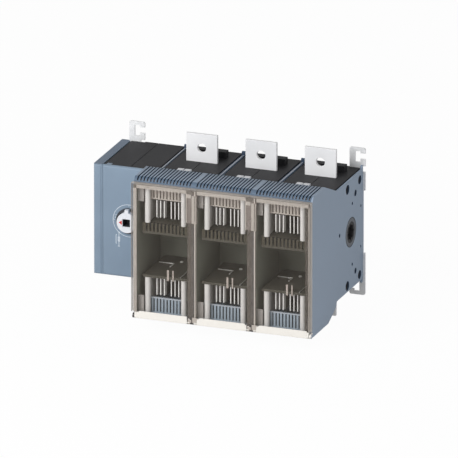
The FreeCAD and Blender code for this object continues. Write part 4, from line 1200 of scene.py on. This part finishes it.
@dataclass
class FuseCover:
    """The clear hinged cover over the fuse bays."""

    finishes: Finishes
    edge: float = 0.4 * MM
    trim_edge: float = 0.2 * MM
    panel_back: float = -227.5 * MM
    strip: float = 0.9 * MM
    top: float = 100.4 * MM
    bottom: float = -99.8 * MM
    left: float = -90.0 * MM
    right: float = 190.5 * MM
    band_height: float = 6.0 * MM
    left_wide: float = 5.5 * MM
    right_wide: float = 2.6 * MM
    right_veil: float = 7.0 * MM
    glint_depth: float = 0.3 * MM
    # Painted glints low at the sides, each by its left, foot, right and head
    glints: tuple[Quad, ...] = (
        (-89.0 * MM, -99.8 * MM, -85.5 * MM, -32.0 * MM), (188.3 * MM, -69.0 * MM, 190.2 * MM, -39.0 * MM),
        (187.9 * MM, -25.0 * MM, 190.5 * MM, -20.0 * MM),
    )
    boundaries: Pair = (4.0 * MM, 98.5 * MM)
    rib_offset: float = 4.5 * MM
    rib_half: float = 0.85 * MM
    rib_front: float = 0.8 * MM
    step_height: float = 49.0 * MM
    lower_seam: Pair = (-7.6 * MM, 3.0 * MM)
    upper_seam: Pair = (-9.8 * MM, 7.6 * MM)
    line_front: float = 0.7 * MM
    line_back: float = 0.3 * MM
    # Painted highlights near the top of each seam
    light: Pair = (-0.6 * MM, 6.6 * MM)
    light_drop: float = 8.0 * MM
    corner_margin: float = 1.0 * MM
    corner_drops: Pair = (12.0 * MM, 6.0 * MM)
    # Lines of painted highlight along each seam
    seam_lines: tuple[Quad, ...] = (
        (4.5 * MM, 1.3 * MM, -99.5 * MM, 100.0 * MM), (-9.2 * MM, 0.8 * MM, 49.0 * MM, 96.0 * MM))
    lips: tuple[Pair, ...] = ((-84.5 * MM, -3.6 * MM), (11.5 * MM, 88.9 * MM), (106.4 * MM, 186.9 * MM))
    lip_top: float = -97.6 * MM
    lip_bottom: float = -109.2 * MM
    lip_front: float = -230.45 * MM
    lip_depth: float = 0.6 * MM
    lip_slope: float = 5.5 * MM
    lip_edge: float = 0.25 * MM
    lug_left: float = -7.3 * MM
    lug_right: float = 0.8 * MM
    lug_end: float = 8.2 * MM
    lug_line: float = 1.3 * MM
    lug_depth: float = 0.12 * MM
    lug_top: float = -99.1 * MM
    lug_foot: float = -109.0 * MM
    block_gap: float = 0.2 * MM
    block_rise: float = 1.0 * MM
    ear_room: float = 3.0 * MM
    ear_foot: float = -106.4 * MM

    def build(self) -> None:
        """Copy and dress the cover, its rails and its pins."""
        f = self.finishes
        copy = softened("fuse_cover", self.edge, f.smoky, Body.COVER)
        # Painted highlight on the cover's top and side edges
        zone(copy, f.edge, lambda face: face.center.z > self.top or face.center.x < self.left
             or face.center.x > self.right)
        # Painted highlight on a rib behind the panel
        zone(copy, f.bright, self._in_rib)
        self._margins()
        self._seams()
        self._lips()
        self._lugs()
        softened("cover_hinge_rails", self.edge, f.pale, Body.COVER)
        dress("cover_hinge_pins", f.steel)

    def _in_rib(self, face: Face) -> bool:
        """Whether a face belongs to the right one of the ribs behind the panel at a boundary."""
        return face.center.y > self.panel_back - self.rib_front and any(
            abs(face.center.x - x - self.rib_offset) < self.rib_half for x in self.boundaries)

    def _margins(self) -> None:
        """The thicker margins on the inside of the panel, with painted highlight along them and painted
        glints low at the sides.
        """
        f = self.finishes
        front, back, left, right = self.panel_back, self.panel_back + self.strip, self.left, self.right
        band = self.top - self.band_height
        strips = block((left, front, band), (right, back, self.top))
        block((left, front, self.bottom), (left + self.left_wide, back, self.top), strips)
        block((right - self.right_wide, front, self.bottom), (right, back, self.top), strips)
        finish_piece("cover_margins", strips, f.edge, Body.COVER, self.trim_edge)
        side = block((right - self.right_veil, front, self.bottom), (right - self.right_wide, back, band))
        finish_piece("cover_side_veil", side, f.veil, Body.COVER)
        glints = bmesh.new()
        for start, foot, end, head in self.glints:
            block((start, back, foot), (end, back + self.glint_depth, head), glints)
        finish_piece("cover_glints", glints, f.edge, Body.COVER)

    def _seams(self) -> None:
        """The strips behind the panel where two bays meet, wider and paler near the top, with painted
        highlights and painted highlight lines on them.
        """
        f = self.finishes
        front, back = self.panel_back, self.panel_back + self.strip
        near, far = self.panel_back - self.line_front, self.panel_back - self.line_back
        veils, upper, lights, lines = bmesh.new(), bmesh.new(), bmesh.new(), bmesh.new()
        for x in self.boundaries:
            left, right = self.lower_seam
            block((x + left, front, self.bottom), (x + right, back, self.step_height), veils)
            left, right = self.upper_seam
            block((x + left, front, self.step_height), (x + right, back, self.top), upper)
            corner = x + left + self.corner_margin
            left, right = self.light
            block((x + left, near, self.step_height), (x + right, far, self.top - self.light_drop), lights)
            foot, head = [self.top - drop for drop in self.corner_drops]
            block((corner, near, foot), (x + left - self.corner_margin, far, head), lights)
            for place, width, foot, head in self.seam_lines:
                block((x + place - width / 2, near, foot), (x + place + width / 2, far, head), lines)
        finish_piece("cover_seams", veils, f.veil, Body.COVER, self.trim_edge)
        finish_piece("cover_upper_seams", upper, f.blush, Body.COVER, self.trim_edge)
        finish_piece("cover_upper_lights", lights, f.edge, Body.COVER)
        finish_piece("cover_seam_lines", lines, f.bright, Body.COVER)

    def _lips(self) -> None:
        """The cream lip along the foot of each bay, with a sloping left end."""
        lips = bmesh.new()
        up_left = (-1.0, 0.0, 1.0)
        for left, right in self.lips:
            lip = block((left, self.lip_front, self.lip_bottom),
                        (right, self.lip_front + self.lip_depth, self.lip_top))
            sliced(lip, (left + self.lip_slope, 0.0, self.lip_top), up_left)
            mesh = bpy.data.meshes.new("lip")
            lip.to_mesh(mesh)
            lip.free()
            lips.from_mesh(mesh)
            bpy.data.meshes.remove(mesh)
        finish_piece("cover_lips", lips, self.finishes.pale, Body.COVER, self.lip_edge)

    def _lugs(self) -> None:
        """The hooked lugs over the hinge ears: a dark outline round a light core, and a pale block."""
        f = self.finishes
        top, foot, line, ear = self.lug_top, self.lug_foot, self.lug_line, self.ear_foot
        outlines, cores = bmesh.new(), bmesh.new()
        for x in self.boundaries:
            left, right, end = x + self.lug_left, x + self.lug_right, x + self.lug_end
            ear_left, ear_right = x - self.ear_room, x + self.ear_room
            raised = top + self.block_rise
            for shape, start, low, stop, high in (
                (outlines, left, foot, left + line, top), (outlines, right - line, ear, right, top),
                (outlines, left + line, top - line, right - line, top),
                (cores, left + line, foot, ear_left, top - 2 * line),
                (cores, ear_left, ear, right - line, top - 2 * line),
                (cores, right + self.block_gap, ear, ear_right, raised),
                (cores, ear_right, foot + self.block_rise, end, raised),
            ):
                block((start, self.lip_front, low), (stop, self.lip_front + self.lug_depth, high), shape)
        finish_piece("lug_outlines", outlines, f.tinted, Body.COVER)
        finish_piece("lug_cores", cores, f.edge, Body.COVER)


@dataclass
class Fixings:
    """Brackets, screws, rods and the coupling ring."""

    finishes: Finishes
    edge: float = 0.35 * MM

    def build(self) -> None:
        """Copy and dress the fixings."""
        f = self.finishes
        for side in ("left", "right"):
            for level in ("upper", "lower"):
                softened(f"bracket_{level}_{side}", self.edge, f.zinc, Body.HOUSING)
        softened("coupling_ring", self.edge, f.black, Body.ROTOR)
        dress("tie_rods", f.burnished)
        dress("bracket_screws", f.steel)


# The studio


@dataclass(frozen=True)
class Lamp:
    """A square soft lamp."""

    name: str
    place: Point
    size: float
    power: float

    def build(self, target: Vector) -> None:
        """Hang the lamp.

        Args:
            target: The point that it shines at.
        """
        data = bpy.data.lights.new(self.name, "AREA")
        data.size = self.size
        data.energy = self.power
        lamp = bpy.data.objects.new(self.name, data)
        lamp.location = self.place
        lamp.rotation_mode = "QUATERNION"
        lamp.rotation_quaternion = (target - Vector(self.place)).to_track_quat("-Z", "Y")
        bpy.context.scene.collection.objects.link(lamp)


@dataclass
class Studio:
    """Floor, lamps, background and camera."""

    azimuth: float = 20.38
    elevation: float = 18.90
    distance: float = 30.0
    sight: float = 80.0
    sensor: float = 36.0
    photo_width: float = 458.0
    photo_scale: float = 0.6692 / MM
    aim: Point = (0.0, -0.110, 0.0)
    aim_right: float = 17.7 * MM
    aim_up: float = 2.2 * MM
    floor_size: float = 14.0
    floor_gap: float = 0.6 * MM
    floor_colour: Colour = (0.86, 0.86, 0.87, 1.0)
    floor_glow: Colour = (1.0, 1.0, 1.0, 1.0)
    floor_white: float = 0.97
    world_light: float = 0.4
    world_seen: float = 1.0
    key: Lamp = Lamp("key", (-0.9, -2.4, 1.25), 1.8, 66.0)
    fill: Lamp = Lamp("fill", (2.6, -2.0, 0.7), 2.2, 18.5)

    def build(self) -> None:
        """Set up everything round the object."""
        self._background()
        self._floor()
        for lamp in (self.key, self.fill):
            lamp.build(Vector(self.aim))
        self._camera()
        bpy.context.scene.view_settings.view_transform = "Standard"

    def _background(self) -> None:
        """Bright to the camera, in gloss and through clear parts, and softer as light."""
        world = bpy.data.worlds.new("studio")
        bpy.context.scene.world = world
        shader = Shader(world)
        strength = shader.in_view() * (self.world_seen - self.world_light) + self.world_light
        shader.close("ShaderNodeOutputWorld", shader.node("ShaderNodeBackground", {}, {"Strength": strength}))

    def _floor(self) -> None:
        """A plain pale floor just under the lowest lug."""
        shape = bmesh.new()
        level = CAD_BOX[0].z - self.floor_gap
        bmesh.ops.create_grid(shape, x_segments=1, y_segments=1, size=self.floor_size / 2,
                              matrix=Matrix.Translation((0, 0, level)))
        mesh = bpy.data.meshes.new("floor")
        shape.to_mesh(mesh)
        shape.free()
        floor = bpy.data.objects.new("floor", mesh)
        bpy.context.scene.collection.objects.link(floor)
        mesh.materials.append(self._floor_finish())
        floor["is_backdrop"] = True

    def _floor_finish(self) -> bpy.types.Material:
        """Pale board that the camera sees almost without shadow.

        Returns:
            The material.
        """
        shader = Shader.named("pale_floor")
        board = shader.node("ShaderNodeBsdfDiffuse", {}, {"Color": self.floor_colour})
        glow = shader.node("ShaderNodeEmission", {}, {"Color": self.floor_glow, "Strength": 1.0})
        share = shader.in_view() * self.floor_white
        mixed = shader.node("ShaderNodeMixShader", {}, {0: share, 1: board.outputs[0], 2: glow.outputs[0]})
        shader.close("ShaderNodeOutputMaterial", mixed)
        return shader.owner

    def _camera(self) -> None:
        """A long lens at the photograph's angle and scale."""
        turn, tilt = math.radians(self.azimuth), math.radians(self.elevation)
        right = Vector((math.cos(turn), math.sin(turn), 0.0))
        up = Vector((-math.sin(turn) * math.sin(tilt), math.cos(turn) * math.sin(tilt), math.cos(tilt)))
        back = right.cross(up)
        data = bpy.data.cameras.new("camera")
        data.sensor_width = self.sensor
        data.lens = self.distance * self.sensor * self.photo_scale / self.photo_width
        data.clip_end = self.sight
        camera = bpy.data.objects.new("camera", data)
        target = Vector(self.aim) + right * self.aim_right + up * self.aim_up
        camera.location = target + back * self.distance
        camera.rotation_mode = "QUATERNION"
        camera.rotation_quaternion = (-back).to_track_quat("-Z", "Y")
        bpy.context.scene.collection.objects.link(camera)
        bpy.context.scene.camera = camera


def main() -> None:
    """Build the studio and every sub-assembly in order."""
    logging.basicConfig(level=logging.INFO, format="%(message)s")
    Studio().build()
    finishes = Finishes()
    for part in (PoleBlock(finishes), Conductors(finishes), Drive(finishes), FuseCover(finishes),
                 Fixings(finishes)):
        part.build()
        LOG.info("built %s", type(part).__name__)
    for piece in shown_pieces():
        LOG.info("piece %s with %d faces", piece.name, len(piece.data.polygons))


if __name__ == "__main__":
    main()
